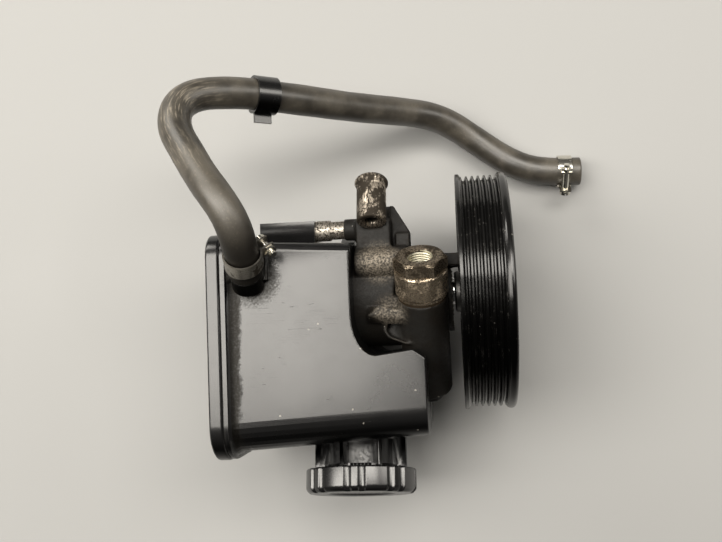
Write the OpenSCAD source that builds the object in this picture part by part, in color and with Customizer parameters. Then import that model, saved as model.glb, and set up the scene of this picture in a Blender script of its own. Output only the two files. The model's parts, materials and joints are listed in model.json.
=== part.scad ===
// Power steering pump with its belt pulley, wrap-round oil reservoir and return hose.
// X runs along the shaft towards the pulley, Y towards the hose and Z is up.
// The origin is on the shaft axis, in the middle plane of the belt grooves.

/* [Belt pulley] */
// Number of belt grooves
rib_count = 6; // [5:1:7]
// Distance from groove to groove
rib_pitch = 3.56; // [3.4:0.02:4.2]
// Depth of a groove
rib_depth = 2.7; // [2:0.1:3.2]
// Radius over the crests between the grooves
crest_r = 70; // [62:0.5:70]
// Height of the side flanges over the crests
flange_lip = 1.5; // [0.8:0.1:1.8]
// Width of the flange on the pump side
rear_flange_w = 3.4; // [2.5:0.1:4]
// Width of the rounded outer flange
front_flange_w = 5.2; // [4:0.1:8]
// Wall of the rim under the grooves
rim_wall = 5.5; // [4:0.5:8]
// Thickness of the pulley web
web_t = 5; // [3.5:0.5:7]
// Radius of the web windows that give access to the mounting bolts
window_r = 9.5; // [7:0.5:11]

/* [Hub and shaft] */
// Radius of the flange that carries the pulley
hub_flange_r = 23; // [21.5:0.5:26]
// Thickness of that flange
hub_flange_t = 6; // [5:0.5:8]
// Radius of the hub barrel
hub_barrel_r = 12.5; // [11:0.5:13.5]
// Length of the hub behind the pulley
hub_len = 17; // [15:0.5:19]
// Radius of the spigot that centres the pulley
pilot_r = 10.5; // [9.5:0.5:11]
// Pitch circle of the pulley bolts
pulley_bolt_pcd = 33; // [31:0.5:35]
// Number of pulley bolts
pulley_bolt_count = 3; // [3:1:5]
// Radius of the pulley bolt thread
pulley_bolt_r = 3; // [2.5:0.5:3]
// Width across the flats of the pulley bolt head
pulley_bolt_af = 10; // [9:0.5:11]
// Radius of the shaft under the hub
shaft_nose_r = 8; // [7:0.5:8]
// Radius of the shaft in the bearing and seal
shaft_r = 8.5; // [8.5:0.1:9]
// Radius of the shaft in the rotor
spline_r = 7.5; // [6.5:0.5:8]
// Radius of the shaft in the rear bush
tail_r = 6; // [5:0.5:6]

/* [Front bearing and seal] */
// Outer radius of the ball bearing
bearing_r = 17.5; // [17:0.1:18]
// Width of the ball bearing
bearing_w = 11; // [10:0.5:12]
// Radius of a bearing ball
ball_r = 2.8; // [2.4:0.1:3]
// Number of bearing balls
ball_count = 9; // [7:1:10]
// Thickness of the bearing circlip
circlip_t = 1.3; // [1:0.1:1.6]
// Outer radius of the shaft seal
seal_r = 14; // [12.5:0.5:15]
// Width of the shaft seal
seal_w = 7; // [5:0.5:8]

/* [Vane cartridge] */
// Radius of the pump barrel
barrel_r = 31.5; // [30.5:0.1:31.8]
// Wall of the barrel round the cartridge
barrel_wall = 5; // [4:0.5:6]
// Thickness of each side plate
plate_t = 6; // [5:0.5:7]
// Width of the cam ring and rotor
ring_w = 18; // [14:0.5:20]
// Wall of the cam ring where its track is lowest
ring_wall = 6.5; // [6:0.1:8]
// Rise of the cam track over the two pumping lobes
cam_rise = 1.7; // [1:0.1:2.2]
// Number of vanes
vane_count = 10; // [8:1:12]
// Thickness of a vane
vane_t = 1.6; // [1.2:0.1:2]
// Room for the spring behind the pressure plate
spring_room = 5; // [4:0.5:6]
// Thickness of the end cap
end_cap_t = 5.5; // [5:0.5:7]
// Wire diameter of the end cap retaining ring
retainer_d = 1.8; // [1.4:0.1:2]

/* [Flow valve and outlet] */
// Place of the valve column along the shaft
valve_x = -35.7; // [-37:0.1:-35]
// Distance from the shaft axis to the valve axis
valve_offset = 28; // [27.5:0.5:30]
// Rise of the valve axis over the horizontal, in degrees
valve_angle = 32; // [28:1:34]
// Radius of the valve column
column_r = 14.5; // [13.5:0.1:14.5]
// Radius of the valve bore
valve_r = 8; // [7:0.5:8]
// Length of the valve column below the shaft plane
column_low = 50; // [46:1:52]
// Length of the valve column above the shaft plane
column_high = 14; // [12:0.5:15]
// Length of the spool
spool_len = 26; // [20:1:28]
// Wire radius of the valve spring
valve_wire_r = 0.8; // [0.5:0.1:1]
// Width across the flats of the outlet union
union_af = 27; // [24:1:28]
// Height of the union hexagon
union_hex_h = 10; // [8:0.5:12]
// Radius of the round body of the union
union_r = 15.3; // [14:0.1:15.5]
// Height of the round body of the union
union_body_h = 15; // [12:0.5:16]
// Radius of the union shank in the housing
union_shank_r = 10; // [9.5:0.5:11]
// Length of the union shank
union_shank_len = 9; // [7:0.5:10]
// Radius of the outlet thread bore
outlet_r = 7.2; // [6:0.1:8]
// Depth of the outlet thread bore
outlet_depth = 17; // [12:0.5:20]
// Thickness of the union sealing washer
washer_t = 1.5; // [1:0.1:2]

/* [Pump casting] */
// Radius of the nose that holds the bearing
nose_r = 24; // [23:0.5:25]
// Radius of the mounting ears
ear_r = 9; // [8:0.5:9]
// Radius of the mounting holes
ear_hole_r = 4.25; // [3.5:0.05:4.5]
// Radius of the circle on which the mounting holes lie
ear_ring_r = 46; // [45:0.5:47]
// Thickness of the mounting ears
ear_t = 14; // [12:0.5:15]
// Radius of the oil gallery boss along the barrel
gallery_r = 9; // [8:0.5:9.5]
// Outer radius of the return spigot
spigot_r = 8.75; // [8:0.05:9.5]
// Outer radius of the spigot bead
spigot_bead_r = 10; // [9.6:0.1:11]
// Bore radius of the spigot
spigot_bore_r = 6.5; // [5:0.1:7]
// Length of the spigot
spigot_len = 29; // [26:0.5:32]
// Slope of the spigot below the horizontal, in degrees
spigot_angle = 20; // [16:1:24]

/* [Reservoir] */
// Wall of the moulded reservoir
tank_wall = 3; // [2.5:0.1:3.5]
// Length of the deep part behind the pump
tank_len = 71; // [68:0.5:76]
// Length of the arm that reaches forward over the barrel
arm_len = 41; // [38:0.5:42]
// Height of the flat top above the shaft
tank_top = 50; // [48:0.5:52]
// Depth of the tank below the shaft
tank_bottom = 67.5; // [66:0.5:67.5]
// Room between the barrel and the outside of the tank's near wall
near_room = 1.5; // [1:0.25:2.5]
// Reach of the tank towards the filler side
tank_far = 89.5; // [87:0.5:92]
// Inward lean of the moulded sides for each millimetre of length
draft = 0.058; // [0.04:0.002:0.07]
// How far the joint flange stands out from the tank sides
flange_out = 4.5; // [3.5:0.5:5]
// Thickness of the tank's own joint flange
tank_flange_t = 2; // [1.5:0.1:3]
// Depth of the rear cover rim
cover_t = 9; // [8:0.5:11]
// Wall of the rear cover
cover_wall = 3.5; // [3:0.5:5]

/* [Filler neck and cap] */
// Outer radius of the filler neck
neck_r = 21; // [20:0.5:22]
// Bore radius of the filler neck
neck_bore_r = 18; // [16:0.5:18.5]
// Outer radius of the threaded mouth of the neck
mouth_r = 24.6; // [23.5:0.1:25]
// Distance along the neck to its end
neck_end = 118.5; // [117:0.5:120]
// Upward lean of the neck, in degrees
neck_lean = 14; // [10:1:16]
// Number of stiffening ribs round the neck
neck_ribs = 8; // [6:1:10]
// Radius over the cap grips
cap_r = 33.5; // [32:0.5:35]
// Height of the cap
cap_h = 14.5; // [13:0.5:16]
// Thickness of the cap crown
cap_crown_t = 4; // [3:0.5:5]
// Number of grip lobes on the cap
cap_lobes = 8; // [6:1:10]
// Thickness of the cap gasket
gasket_t = 1.5; // [1:0.1:2]
// Length of the dipstick below the cap crown
dipstick_len = 62; // [40:1:66]

/* [Hose and clamps] */
// Outer radius of the hose
hose_r = 9.5; // [9:0.1:9.5]
// Bore radius of the hose
hose_bore_r = 6; // [5:0.1:6.5]
// Length of the nipple inside the hose
nipple_len = 24; // [18:1:26]
// Width of the clamp bands
band_w = 9; // [7:0.5:10]
// Thickness of the clamp bands
band_t = 0.9; // [0.6:0.1:1.2]
// Height of the clamp ears
clamp_ear_h = 8; // [7:0.5:9]
// Radius of the clamp screws
clamp_screw_r = 2; // [1.5:0.1:2.2]
// Opening of the tightened clamp at the tank
tight_gap = 5; // [4:0.5:7]
// Opening of the slack clamp at the free end
slack_gap = 12; // [9:0.5:13]

/* [Hidden] */
$fn = 64;

// Clearances: still seats, running fits, flat faces and moulded parts beside the casting
seat_gap = 0.02;
run_gap = 0.05;
face_gap = 0.1;
mould_gap = 1.5;

// Stations along the shaft, from the pulley back
rim_rear_x = -rib_count * rib_pitch / 2 - rear_flange_w;
rim_front_x = rib_count * rib_pitch / 2 + front_flange_w;
nose_gap = 2;
nose_x = -hub_len - nose_gap;
circlip_lip = 1.5;
bearing_front_x = nose_x - circlip_lip - circlip_t;
bearing_rear_x = bearing_front_x - bearing_w;
seal_front_x = bearing_rear_x - 1.2;
seal_rear_x = seal_front_x - seal_w;
barrel_front_x = seal_rear_x - 5;
journal_len = 17;
plate_front_x = seal_rear_x - journal_len;
ring_front_x = plate_front_x - plate_t;
ring_rear_x = ring_front_x - ring_w;
plate_rear_x = ring_rear_x - plate_t;
cap_front_x = plate_rear_x - spring_room;
cap_rear_x = cap_front_x - end_cap_t;
retainer_x = cap_rear_x - retainer_d / 2;
barrel_rear_x = retainer_x - 2.5;
cavity_r = barrel_r - barrel_wall;
cam_r = cavity_r - ring_wall;
cartridge_r = cavity_r - seat_gap;

// Bearing: ball pitch radius midway between the races
ball_pitch_r = (shaft_r + bearing_r) / 2;
race_lip = 1.1;

// Valve axis: from its nearest point to the shaft, local Z runs up and out along the axis
valve_foot = valve_offset * [0, -sin(valve_angle), cos(valve_angle)];
union_seat = column_high + washer_t;
shank_end = union_seat - union_shank_len;
hex_base = union_seat + union_body_h;
union_top = hex_base + union_hex_h;
union_corner_r = union_af / 2 / cos(30);
outlet_floor = union_top - outlet_depth;
insert_r = outlet_r - 0.6;
spool_top = shank_end - 0.5;
spool_end = spool_top - spool_len;
valve_floor = -column_low + 6;

// Return spigot: its inner end, and the pad that holds it
spigot_place = [-63.2, 41, 35.5];
pad_low = [-73.5, 20, 0];
pad_high = [-53, 44, 29.5];

// Mounting ears: their front faces are in one plane
ear_front_x = -52;
ear_angles = [0, -60, -120];
window_count = 6;

// Reservoir stations: the wall round the barrel, the arm's end and the joint face
socket_x = ring_front_x - 12;
arm_x = socket_x + arm_len;
joint_x = socket_x - tank_len;
cover_x = joint_x - tank_flange_t - face_gap;
neck_x = socket_x - 3;
neck_foot_z = -24;
arm_edge_y = -33.2;
foot_z = -tank_bottom - flange_out;
tank_near = barrel_r + near_room;

// Bolt that holds the tank to the pump, and the lug it passes through
tank_bolt = [0, tank_near + 6, 21];
tank_bolt_r = 3;
bolt_head_r = 5.2;
bolt_head_h = 5;
bolt_bite = 11;
lug_rear_x = joint_x + 16;
lug_front_x = joint_x + 49;
bolt_boss_x = socket_x - 5;

// Neck and cap, measured along the neck
neck_start = tank_far - 14;
crown_z = neck_end + gasket_t;
cap_top_z = crown_z + cap_crown_t;
cap_rim_z = cap_top_z - cap_h;
cap_bore_r = mouth_r + 0.4;

// Hose centre line, from the nipple to the open end on the table
hose_route = [[-132.6, 13, 59.8], [-131.7, 17.5, 66.5], [-131, 22.5, 73.5], [-131, 29, 80.5],
  [-132.3, 38, 86.3], [-137.2, 47.8, 88], [-145, 58.5, 85.5], [-153.5, 70.5, 80],
  [-161.6, 83.5, 74.5], [-167.9, 93.6, 70], [-170, 103.5, 65.5], [-168.5, 112, 60.5],
  [-161.5, 118, 55], [-150.5, 121, 47], [-137, 122.5, 38], [-120, 122.5, 26],
  [-100, 122.5, 10], [-78, 123, -10], [-58, 124, -27], [-40, 124.5, -41], [-24, 122.5, -51],
  [-10, 116, -58], [4, 106, -61.5], [18, 95.5, -62.4], [34, 86.5, -62.4], [52, 82.5, -62.4],
  [72, 81.5, -62.4]];
hose_sides = 12;
nipple_base = hose_route[0];
nipple_dir = unit(hose_route[1] - hose_route[0]);
hose_end_dir = unit(hose_route[26] - hose_route[25]);
nipple_pad_z = tank_top + 3.5;
nipple_foot = 11;

function unit(v) = v / norm(v);

// Direction of the route at point i, from its two neighbours
function heading(p, i) = unit(p[min(i + 1, len(p) - 1)] - p[max(i - 1, 0)]);

// Side directions carried along the route without twist
function carried(p, i) = i == 0 ? unit(cross(heading(p, 0), [0, 0, 1]))
  : let (side = carried(p, i - 1), t = heading(p, i)) unit(side - (side * t) * t);

// One ring of points round the route at point i
function ring(p, i, r, n) = let (a = carried(p, i), b = cross(heading(p, i), a))
  [for (k = [0 : n - 1]) p[i] + r * (cos(360 * k / n) * a + sin(360 * k / n) * b)];

// Points of a spring wire of given coil radius, length and number of turns
function coil(r, length, turns) = [for (a = [0 : 24 : 360 * turns])
  [r * cos(a), r * sin(a), length * a / (360 * turns)]];

// Closed tube along a list of points
module swept_tube(p, r, n) {
  rings = len(p);
  sides = [for (i = [0 : rings - 2], k = [0 : n - 1])
    [i * n + k, i * n + (k + 1) % n, (i + 1) * n + (k + 1) % n, (i + 1) * n + k]];
  first = [for (k = [0 : n - 1]) n - 1 - k];
  last = [for (k = [0 : n - 1]) (rings - 1) * n + k];
  polyhedron([for (i = [0 : rings - 1]) each ring(p, i, r, n)],
    concat([first, last], [for (s = sides) [s[0], s[1], s[2], s[3]]]));
}

// Carries children from local Z to direction v at point p
module along(p, v) {
  translate(p) rotate([0, acos(v.z), atan2(v.y, v.x)]) children();
}

// Cylinder along the shaft between two stations
module bar(x0, x1, r) {
  translate([x0, 0, 0]) rotate([0, 90, 0]) cylinder(h = x1 - x0, r = r);
}

// Ring along the shaft between two stations
module sleeve(x0, x1, r_out, r_in) {
  difference() {
    bar(x0, x1, r_out);
    bar(x0 - 1, x1 + 1, r_in);
  }
}

// Turned profile of [radius, station] points, revolved about the shaft
module turned(profile) {
  rotate([0, 90, 0]) rotate_extrude($fn = 128) polygon(profile);
}

// Round wire ring about the shaft
module wire_ring(x, r, wire_r, sweep = 360) {
  translate([x, 0, 0]) rotate([0, 90, 0])
    rotate_extrude(angle = sweep) translate([r, 0]) circle(r = wire_r, $fn = 24);
}

// Copies of children round the shaft
module round_shaft(angles) {
  for (a = angles) rotate([a, 0, 0]) children();
}

module on_valve_axis() {
  translate([valve_x, 0, 0] + valve_foot) rotate([valve_angle - 90, 0, 0]) children();
}

module on_spigot_axis() {
  translate(spigot_place) rotate([-90 - spigot_angle, 0, 0]) children();
}

module on_neck_axis() {
  translate([neck_x, 0, neck_foot_z]) rotate([90 - neck_lean, 0, 0]) children();
}

module block(low, high) {
  translate(low) cube(high - low);
}

// Axis-along-X boss at a given place across the shaft
module boss(x0, x1, place, r) {
  translate(place) bar(x0, x1, r);
}

// Corner of an outline: an arc of radius r about its own centre
function corner(c, r, from) = [for (a = [from : 10 : from + 90]) c + r * [cos(a), sin(a)]];

// Outline across the shaft, y0 to y1 and z0 to z1, with its own radius at each corner
function outline(y0, y1, z0, z1, r) = concat(
  corner([y1 - r[0], z1 - r[0]], r[0], 0), corner([y0 + r[1], z1 - r[1]], r[1], 90),
  corner([y0 + r[2], z0 + r[2]], r[2], 180), corner([y1 - r[3], z0 + r[3]], r[3], 270));

// Thickness of material from station x0 to x1 with an outline in Y and Z
module slab(x0, x1, points) {
  translate([x0, 0, 0]) rotate([90, 0, 90]) linear_extrude(x1 - x0) polygon(points);
}

// Tank section at station x, moved inwards by inset
tank_radii = [6, 18, 40, 14];
slice_t = 0.02;
module tank_slice(x, inset) {
  lean = draft * (x - joint_x);
  slab(x, x + slice_t, outline(-tank_far + lean + inset, tank_near - lean - inset,
    -tank_bottom + lean / 2 + inset, tank_top - lean / 2 - inset,
    [for (r = tank_radii) max(r - inset, 1)]));
}

// Outline of the joint flange and cover, moved inwards by inset
function flange_outline(inset) = outline(-tank_far - flange_out + inset,
  tank_near + flange_out - inset, foot_z + inset, tank_top + flange_out - inset,
  [for (r = [14, 22, 44, 18]) r - inset]);

// Side view of the space that the tank leaves for the pump, widened by grow
bend = [13, 23];
module pump_space(grow) {
  left = socket_x - grow;
  low = arm_edge_y - 2.6 - grow;
  translate([0, 0, -100]) linear_extrude(200) polygon(concat(
    [[left, 80]],
    [for (a = [180 : 15 : 270]) [left + bend.x, low + bend.y]
      + [bend.x * cos(a), bend.y * sin(a)]],
    [[arm_x - 7 - grow / 2, arm_edge_y - grow], [arm_x, arm_edge_y - 5 - grow],
      [arm_x + 20, arm_edge_y - 19 - grow], [arm_x + 20, 80]]));
}

// Trough in the arm beside the valve column
module column_space(grow) {
  on_valve_axis() translate([0, 0, -column_low - 8 - grow])
    cylinder(h = column_low + 60, r = column_r + mould_gap + grow);
}

module pulley() {
  groove_half = 0.35;
  slope = 0.364;
  zone = rib_count * rib_pitch / 2;
  flange_r = crest_r + flange_lip;
  rim_in_r = crest_r - rib_depth - rim_wall;
  fillet = 3;
  front_mid = zone + front_flange_w / 2;
  grooves = [for (i = [0 : rib_count - 1], p = [[1, -1], [0, -1], [0, 1], [1, 1]])
    [crest_r - rib_depth * (1 - p[0]),
      (i + 0.5) * rib_pitch - zone + p[1] * (groove_half + slope * rib_depth * p[0])]];
  color("#1b1b1d") difference() {
    turned(concat(
      [[pilot_r + run_gap, 0], [rim_in_r - fillet, 0], [rim_in_r, -fillet],
        [rim_in_r, rim_rear_x], [flange_r - 0.6, rim_rear_x],
        [flange_r, rim_rear_x + 0.6], [flange_r, -zone - 1.2], [crest_r, -zone]],
      grooves,
      [for (a = [0 : 18 : 90])
        [crest_r + flange_lip * sin(a), zone + front_flange_w / 2 * (1 - cos(a))]],
      [for (a = [18 : 18 : 90])
        [flange_r - 2.6 * (1 - cos(a)), front_mid + front_flange_w / 2 * sin(a)]],
      [[rim_in_r + 1, rim_front_x], [rim_in_r, rim_front_x - 1],
        [rim_in_r, web_t + fillet], [rim_in_r - fillet, web_t],
        [pilot_r + run_gap, web_t]]));
    round_shaft([for (k = [0 : window_count - 1]) 360 * k / window_count])
      boss(-1, web_t + 1, [0, ear_ring_r, 0], window_r);
    pulley_bolt_holes(-1, web_t + 1);
  }
}

pulley_bolt_start = 50;
module pulley_bolt_holes(x0, x1) {
  round_shaft([for (k = [0 : pulley_bolt_count - 1])
      pulley_bolt_start + 360 * k / pulley_bolt_count])
    boss(x0, x1, [0, pulley_bolt_pcd / 2, 0], pulley_bolt_r + seat_gap);
}

module pulley_bolts() {
  head_h = 4.5;
  tail = 4;
  color("#8d8a80") round_shaft([for (k = [0 : pulley_bolt_count - 1])
      pulley_bolt_start + 360 * k / pulley_bolt_count])
    translate([0, pulley_bolt_pcd / 2, 0]) {
      bar(-hub_flange_t - tail, web_t, pulley_bolt_r);
      bar(web_t, web_t + 1, pulley_bolt_af * 0.62);
      translate([web_t + 1, 0, 0]) rotate([0, 90, 0])
        cylinder(h = head_h, d = pulley_bolt_af / cos(30), $fn = 6);
    }
}

module pulley_hub() {
  pilot_h = web_t - 1.5;
  color("#6f6a60") difference() {
    turned([[0, -hub_len], [hub_barrel_r - 1, -hub_len], [hub_barrel_r, -hub_len + 1],
      [hub_barrel_r, -hub_flange_t - 2], [hub_barrel_r + 2, -hub_flange_t],
      [hub_flange_r, -hub_flange_t], [hub_flange_r, 0], [pilot_r, 0],
      [pilot_r, pilot_h - 1], [pilot_r - 1, pilot_h], [0, pilot_h]]);
    bar(-hub_len - 1, pilot_h + 1, shaft_nose_r + seat_gap);
    pulley_bolt_holes(-hub_flange_t - 1, 1);
  }
}

module drive_shaft() {
  nose_end = web_t - 2;
  color("#9a9a98") turned([[0, cap_rear_x + 2], [tail_r - 0.8, cap_rear_x + 2],
    [tail_r, cap_rear_x + 2.8], [tail_r, plate_rear_x + 2.5],
    [spline_r, plate_rear_x + 3.5], [spline_r, plate_front_x + 0.5],
    [shaft_r, plate_front_x + 1.5], [shaft_r, -hub_len], [shaft_nose_r, -hub_len],
    [shaft_nose_r, nose_end - 1], [shaft_nose_r - 1, nose_end], [0, nose_end]]);
}

// Race with the ball groove cut into one side
module race(r_out, r_in) {
  difference() {
    sleeve(bearing_rear_x, bearing_front_x, r_out, r_in);
    wire_ring((bearing_rear_x + bearing_front_x) / 2, ball_pitch_r, ball_r + run_gap);
  }
}

module front_bearing_outer_race() {
  color("#a8aaac") race(bearing_r, ball_pitch_r + race_lip);
}

module front_bearing_inner_race() {
  color("#a8aaac") race(ball_pitch_r - race_lip, shaft_r + seat_gap);
}

module front_bearing_balls() {
  mid_x = (bearing_rear_x + bearing_front_x) / 2;
  cage_r = race_lip - 0.4;
  color("#c4c6c8") {
    round_shaft([for (k = [0 : ball_count - 1]) 360 * k / ball_count])
      translate([mid_x, ball_pitch_r, 0]) sphere(r = ball_r, $fn = 32);
    sleeve(mid_x - ball_r - 0.6, mid_x + ball_r - 0.6, ball_pitch_r + cage_r,
      ball_pitch_r - cage_r);
  }
}

module bearing_circlip() {
  opening = 24;
  color("#4a4a4c") difference() {
    sleeve(bearing_front_x, bearing_front_x + circlip_t - face_gap, bearing_r + 0.9,
      bearing_r - 2.2);
    translate([bearing_front_x - 1, 0, 0]) rotate([180 - opening / 2, 0, 0])
      rotate([0, 90, 0]) rotate_extrude(angle = opening) square([bearing_r + 2, circlip_t + 2]);
  }
}

module shaft_seal() {
  lip = 1.2;
  color("#262626") turned([[shaft_r + run_gap, seal_front_x - lip],
    [shaft_r + run_gap, seal_front_x - 2 * lip], [shaft_r + 2, seal_rear_x + 1],
    [seal_r - 1.5, seal_rear_x + 1], [seal_r - 1.5, seal_rear_x],
    [seal_r - seat_gap, seal_rear_x], [seal_r - seat_gap, seal_front_x],
    [shaft_r + 1, seal_front_x]]);
}

// Kidney-shaped ports through a side plate
module kidney_ports(x0, x1) {
  port_w = 3;
  for (a = [28, 118, 208, 298])
    translate([x0, 0, 0]) rotate([a, 0, 0]) rotate([0, 90, 0]) rotate_extrude(angle = 36)
      translate([cam_r - 3.5, 0]) square([port_w, x1 - x0]);
}

dowel_r = 1.5;
dowel_ring_r = cavity_r - 2.4;
module dowel_holes(x0, x1) {
  round_shaft([0, 180]) boss(x0, x1, [0, 0, dowel_ring_r], dowel_r + seat_gap);
}

module side_plate(x0, x1) {
  difference() {
    sleeve(x0, x1, cartridge_r, max(shaft_r, spline_r) + 0.3);
    kidney_ports(x0 - 1, x1 + 1);
    dowel_holes(x0 - 1, x1 + 1);
  }
}

module front_side_plate() {
  color("#84837f") side_plate(ring_front_x, plate_front_x);
}

module pressure_plate() {
  color("#84837f") side_plate(plate_rear_x, ring_rear_x);
}

module cam_ring() {
  color("#77767a") difference() {
    bar(ring_rear_x, ring_front_x, cartridge_r);
    translate([ring_rear_x - 1, 0, 0]) rotate([90, 0, 90]) linear_extrude(ring_w + 2) {
      translate([cam_rise, 0]) circle(r = cam_r, $fn = 128);
      translate([-cam_rise, 0]) circle(r = cam_r, $fn = 128);
      square([2 * cam_rise, 2 * cam_r], center = true);
    }
    dowel_holes(ring_rear_x - 1, ring_front_x + 1);
  }
}

// Slots or vanes round the rotor, each thick t, between two radii
module vane_set(x0, x1, r0, r1, t) {
  round_shaft([for (k = [0 : vane_count - 1]) 360 * k / vane_count])
    block([x0, r0, -t / 2], [x1, r1, t / 2]);
}

rotor_gap = 0.3;
vane_root_r = spline_r + 4.5;
module rotor() {
  color("#6c6b70") difference() {
    sleeve(ring_rear_x + rotor_gap, ring_front_x - rotor_gap, cam_r - 0.5,
      spline_r + seat_gap);
    vane_set(ring_rear_x - 1, ring_front_x + 1, vane_root_r, cam_r + 1, vane_t + 2 * run_gap);
  }
}

module vanes() {
  color("#b0afad") vane_set(ring_rear_x + rotor_gap, ring_front_x - rotor_gap,
    vane_root_r + 0.2, cam_r - 0.35, vane_t);
}

module cartridge_dowels() {
  color("#c0c0bd") round_shaft([0, 180])
    boss(plate_rear_x + 0.5, plate_front_x - 0.5, [0, 0, dowel_ring_r], dowel_r);
}

module preload_spring() {
  r_out = cartridge_r - 3;
  r_in = spline_r + 8;
  t = 1;
  slope = spring_room - t - 0.1;
  color("#57524a") turned([[r_in, plate_rear_x - t], [r_in, plate_rear_x],
    [r_in + 1, plate_rear_x], [r_out, plate_rear_x - slope], [r_out, plate_rear_x - slope - t],
    [r_out - 1, plate_rear_x - slope - t]]);
}

o_ring_r = 1.2;
module end_cap() {
  hub_r = 12;
  hub_front_x = cap_front_x + spring_room - 1.2;
  groove_x = cap_front_x - end_cap_t / 2;
  color("#8b8a86") difference() {
    union() {
      bar(cap_rear_x, cap_front_x, cartridge_r);
      bar(cap_rear_x, hub_front_x, hub_r);
    }
    bar(cap_rear_x + 1.5, hub_front_x + 1, tail_r + 2 + seat_gap);
    sleeve(groove_x - o_ring_r - face_gap, groove_x + o_ring_r + face_gap, cartridge_r + 1,
      cartridge_r - 2 * o_ring_r - face_gap);
  }
}

module end_cap_o_ring() {
  color("#1c1c1c") wire_ring(cap_front_x - end_cap_t / 2, cartridge_r - o_ring_r, o_ring_r);
}

module end_cap_retainer() {
  opening = 30;
  color("#75726b") rotate([90, 0, 0]) wire_ring(retainer_x, cavity_r, retainer_d / 2 - face_gap / 2,
    360 - opening);
}

module rear_bush() {
  hub_front_x = cap_front_x + spring_room - 1.2;
  color("#a5803f") sleeve(cap_rear_x + 1.5, hub_front_x - 0.3, tail_r + 2, tail_r + run_gap);
}

module pump_housing() {
  spot_r = ear_r + 1;
  color("#2b2a28") difference() {
    union() {
      bar(barrel_rear_x, barrel_front_x, barrel_r);
      turned([[0, barrel_front_x - 1], [barrel_r, barrel_front_x - 1], [barrel_r, barrel_front_x],
        [nose_r, barrel_front_x + 6], [nose_r, nose_x + 1.5], [nose_r - 1.5, nose_x], [0, nose_x]]);
      on_valve_axis() {
        translate([0, 0, -column_low]) cylinder(h = column_low + column_high, r = column_r);
        translate([0, 0, -column_low - 6]) cylinder(h = 7, r = column_r - 5);
      }
      casting_ears();
      casting_pads();
    }
    bar(bearing_rear_x, nose_x + 1, bearing_r + seat_gap);
    sleeve(bearing_front_x, bearing_front_x + circlip_t, bearing_r + 1.2, bearing_r - 1);
    bar(seal_rear_x, bearing_rear_x + 1, seal_r);
    bar(plate_front_x - 1, seal_rear_x + 1, shaft_r + run_gap);
    bar(barrel_rear_x - 1, plate_front_x, cavity_r);
    wire_ring(retainer_x, cavity_r, retainer_d / 2);
    on_valve_axis() {
      translate([0, 0, valve_floor]) cylinder(h = column_high - valve_floor + 1, r = valve_r + run_gap);
      translate([0, 0, shank_end - face_gap]) cylinder(h = 30, r = union_shank_r + run_gap);
      translate([0, 0, column_high])
        cylinder(h = union_top, r = max(union_r, union_corner_r) + mould_gap / 2);
    }
    on_spigot_axis() translate([0, 0, -face_gap])
      cylinder(h = spigot_len + 5, r = spigot_r + run_gap);
    round_shaft(ear_angles) {
      boss(ear_front_x - ear_t - 1, ear_front_x + 1, [0, ear_ring_r, 0], ear_hole_r);
      boss(ear_front_x, ear_front_x + 8, [0, ear_ring_r, 0], spot_r);
    }
    boss(bolt_boss_x - 1, bolt_boss_x + bolt_bite + 2, tank_bolt, tank_bolt_r + seat_gap);
    difference() {
      flank_plate(0.83, 24.5, 31);
      on_valve_axis() translate([0, 0, -column_low]) cylinder(h = 80, r = column_r);
    }
  }
}

// Three ears with their webs down to the barrel
module casting_ears() {
  web_half = 5;
  round_shaft(ear_angles) {
    boss(ear_front_x - ear_t, ear_front_x, [0, ear_ring_r, 0], ear_r);
    block([ear_front_x - ear_t, 20, -web_half], [ear_front_x, ear_ring_r, web_half]);
  }
}

// Raised plate beside the valve column, drawn at a share of its full size
module flank_plate(share, z0, z1) {
  middle = [-47, -22];
  rim = [[-13, 0], [-9, 9], [11, 9], [11, -9], [1, -9], [-10, -4.5]];
  translate([middle.x, middle.y, z0]) linear_extrude(z1 - z0) polygon(share * rim);
}

// Gallery boss, spigot pad, tank bolt boss, gusset, stepped flank and nose lug
module casting_pads() {
  gallery = [0, 18, 26.5];
  boss(socket_x + mould_gap, valve_x - 8, gallery, gallery_r);
  block(pad_low, pad_high);
  boss(bolt_boss_x, pad_low.x + 8, tank_bolt, 6.5);
  block([socket_x + mould_gap, 20, 8], [pad_low.x + 8, tank_bolt.y, 21]);
  block([-50.5, 18, 4], [-42.5, 35.5, 24]);
  translate([0, 0, 10]) linear_extrude(7) polygon([[-54, 30], [-54, 53], [-51.5, 53], [-42, 36.5],
    [-42, 18], [-54, 18]]);
  translate([0, -6, 0]) rotate([14, 0, 0]) block([-69, -5, 16], [-38, 4, 37]);
  flank_plate(1, 14, 29.5);
  block([-24, 14, 10], [-13.5, 21.5, 29]);
}

module flow_valve_spool() {
  land = 7;
  waist = valve_r - 2;
  color("#a9a9a6") on_valve_axis() translate([0, 0, spool_end]) difference() {
    rotate_extrude() polygon([[0, 0], [valve_r - 0.6, 0], [valve_r, 0.6], [valve_r, land],
      [waist, land + 1], [waist, spool_len - land - 1], [valve_r, spool_len - land],
      [valve_r, spool_len - 2], [valve_r - 2, spool_len], [0, spool_len]]);
    translate([0, 0, -1]) cylinder(h = spool_len / 2, r = valve_r - 3);
  }
}

module flow_valve_spring() {
  coil_r = valve_r - 1 - valve_wire_r;
  turns = 5;
  length = spool_end - valve_floor - 2 * valve_wire_r - face_gap;
  color("#8a867c") on_valve_axis()
    translate([0, 0, valve_floor + valve_wire_r + face_gap / 2])
      swept_tube(coil(coil_r, length, turns), valve_wire_r, 8);
}

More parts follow.
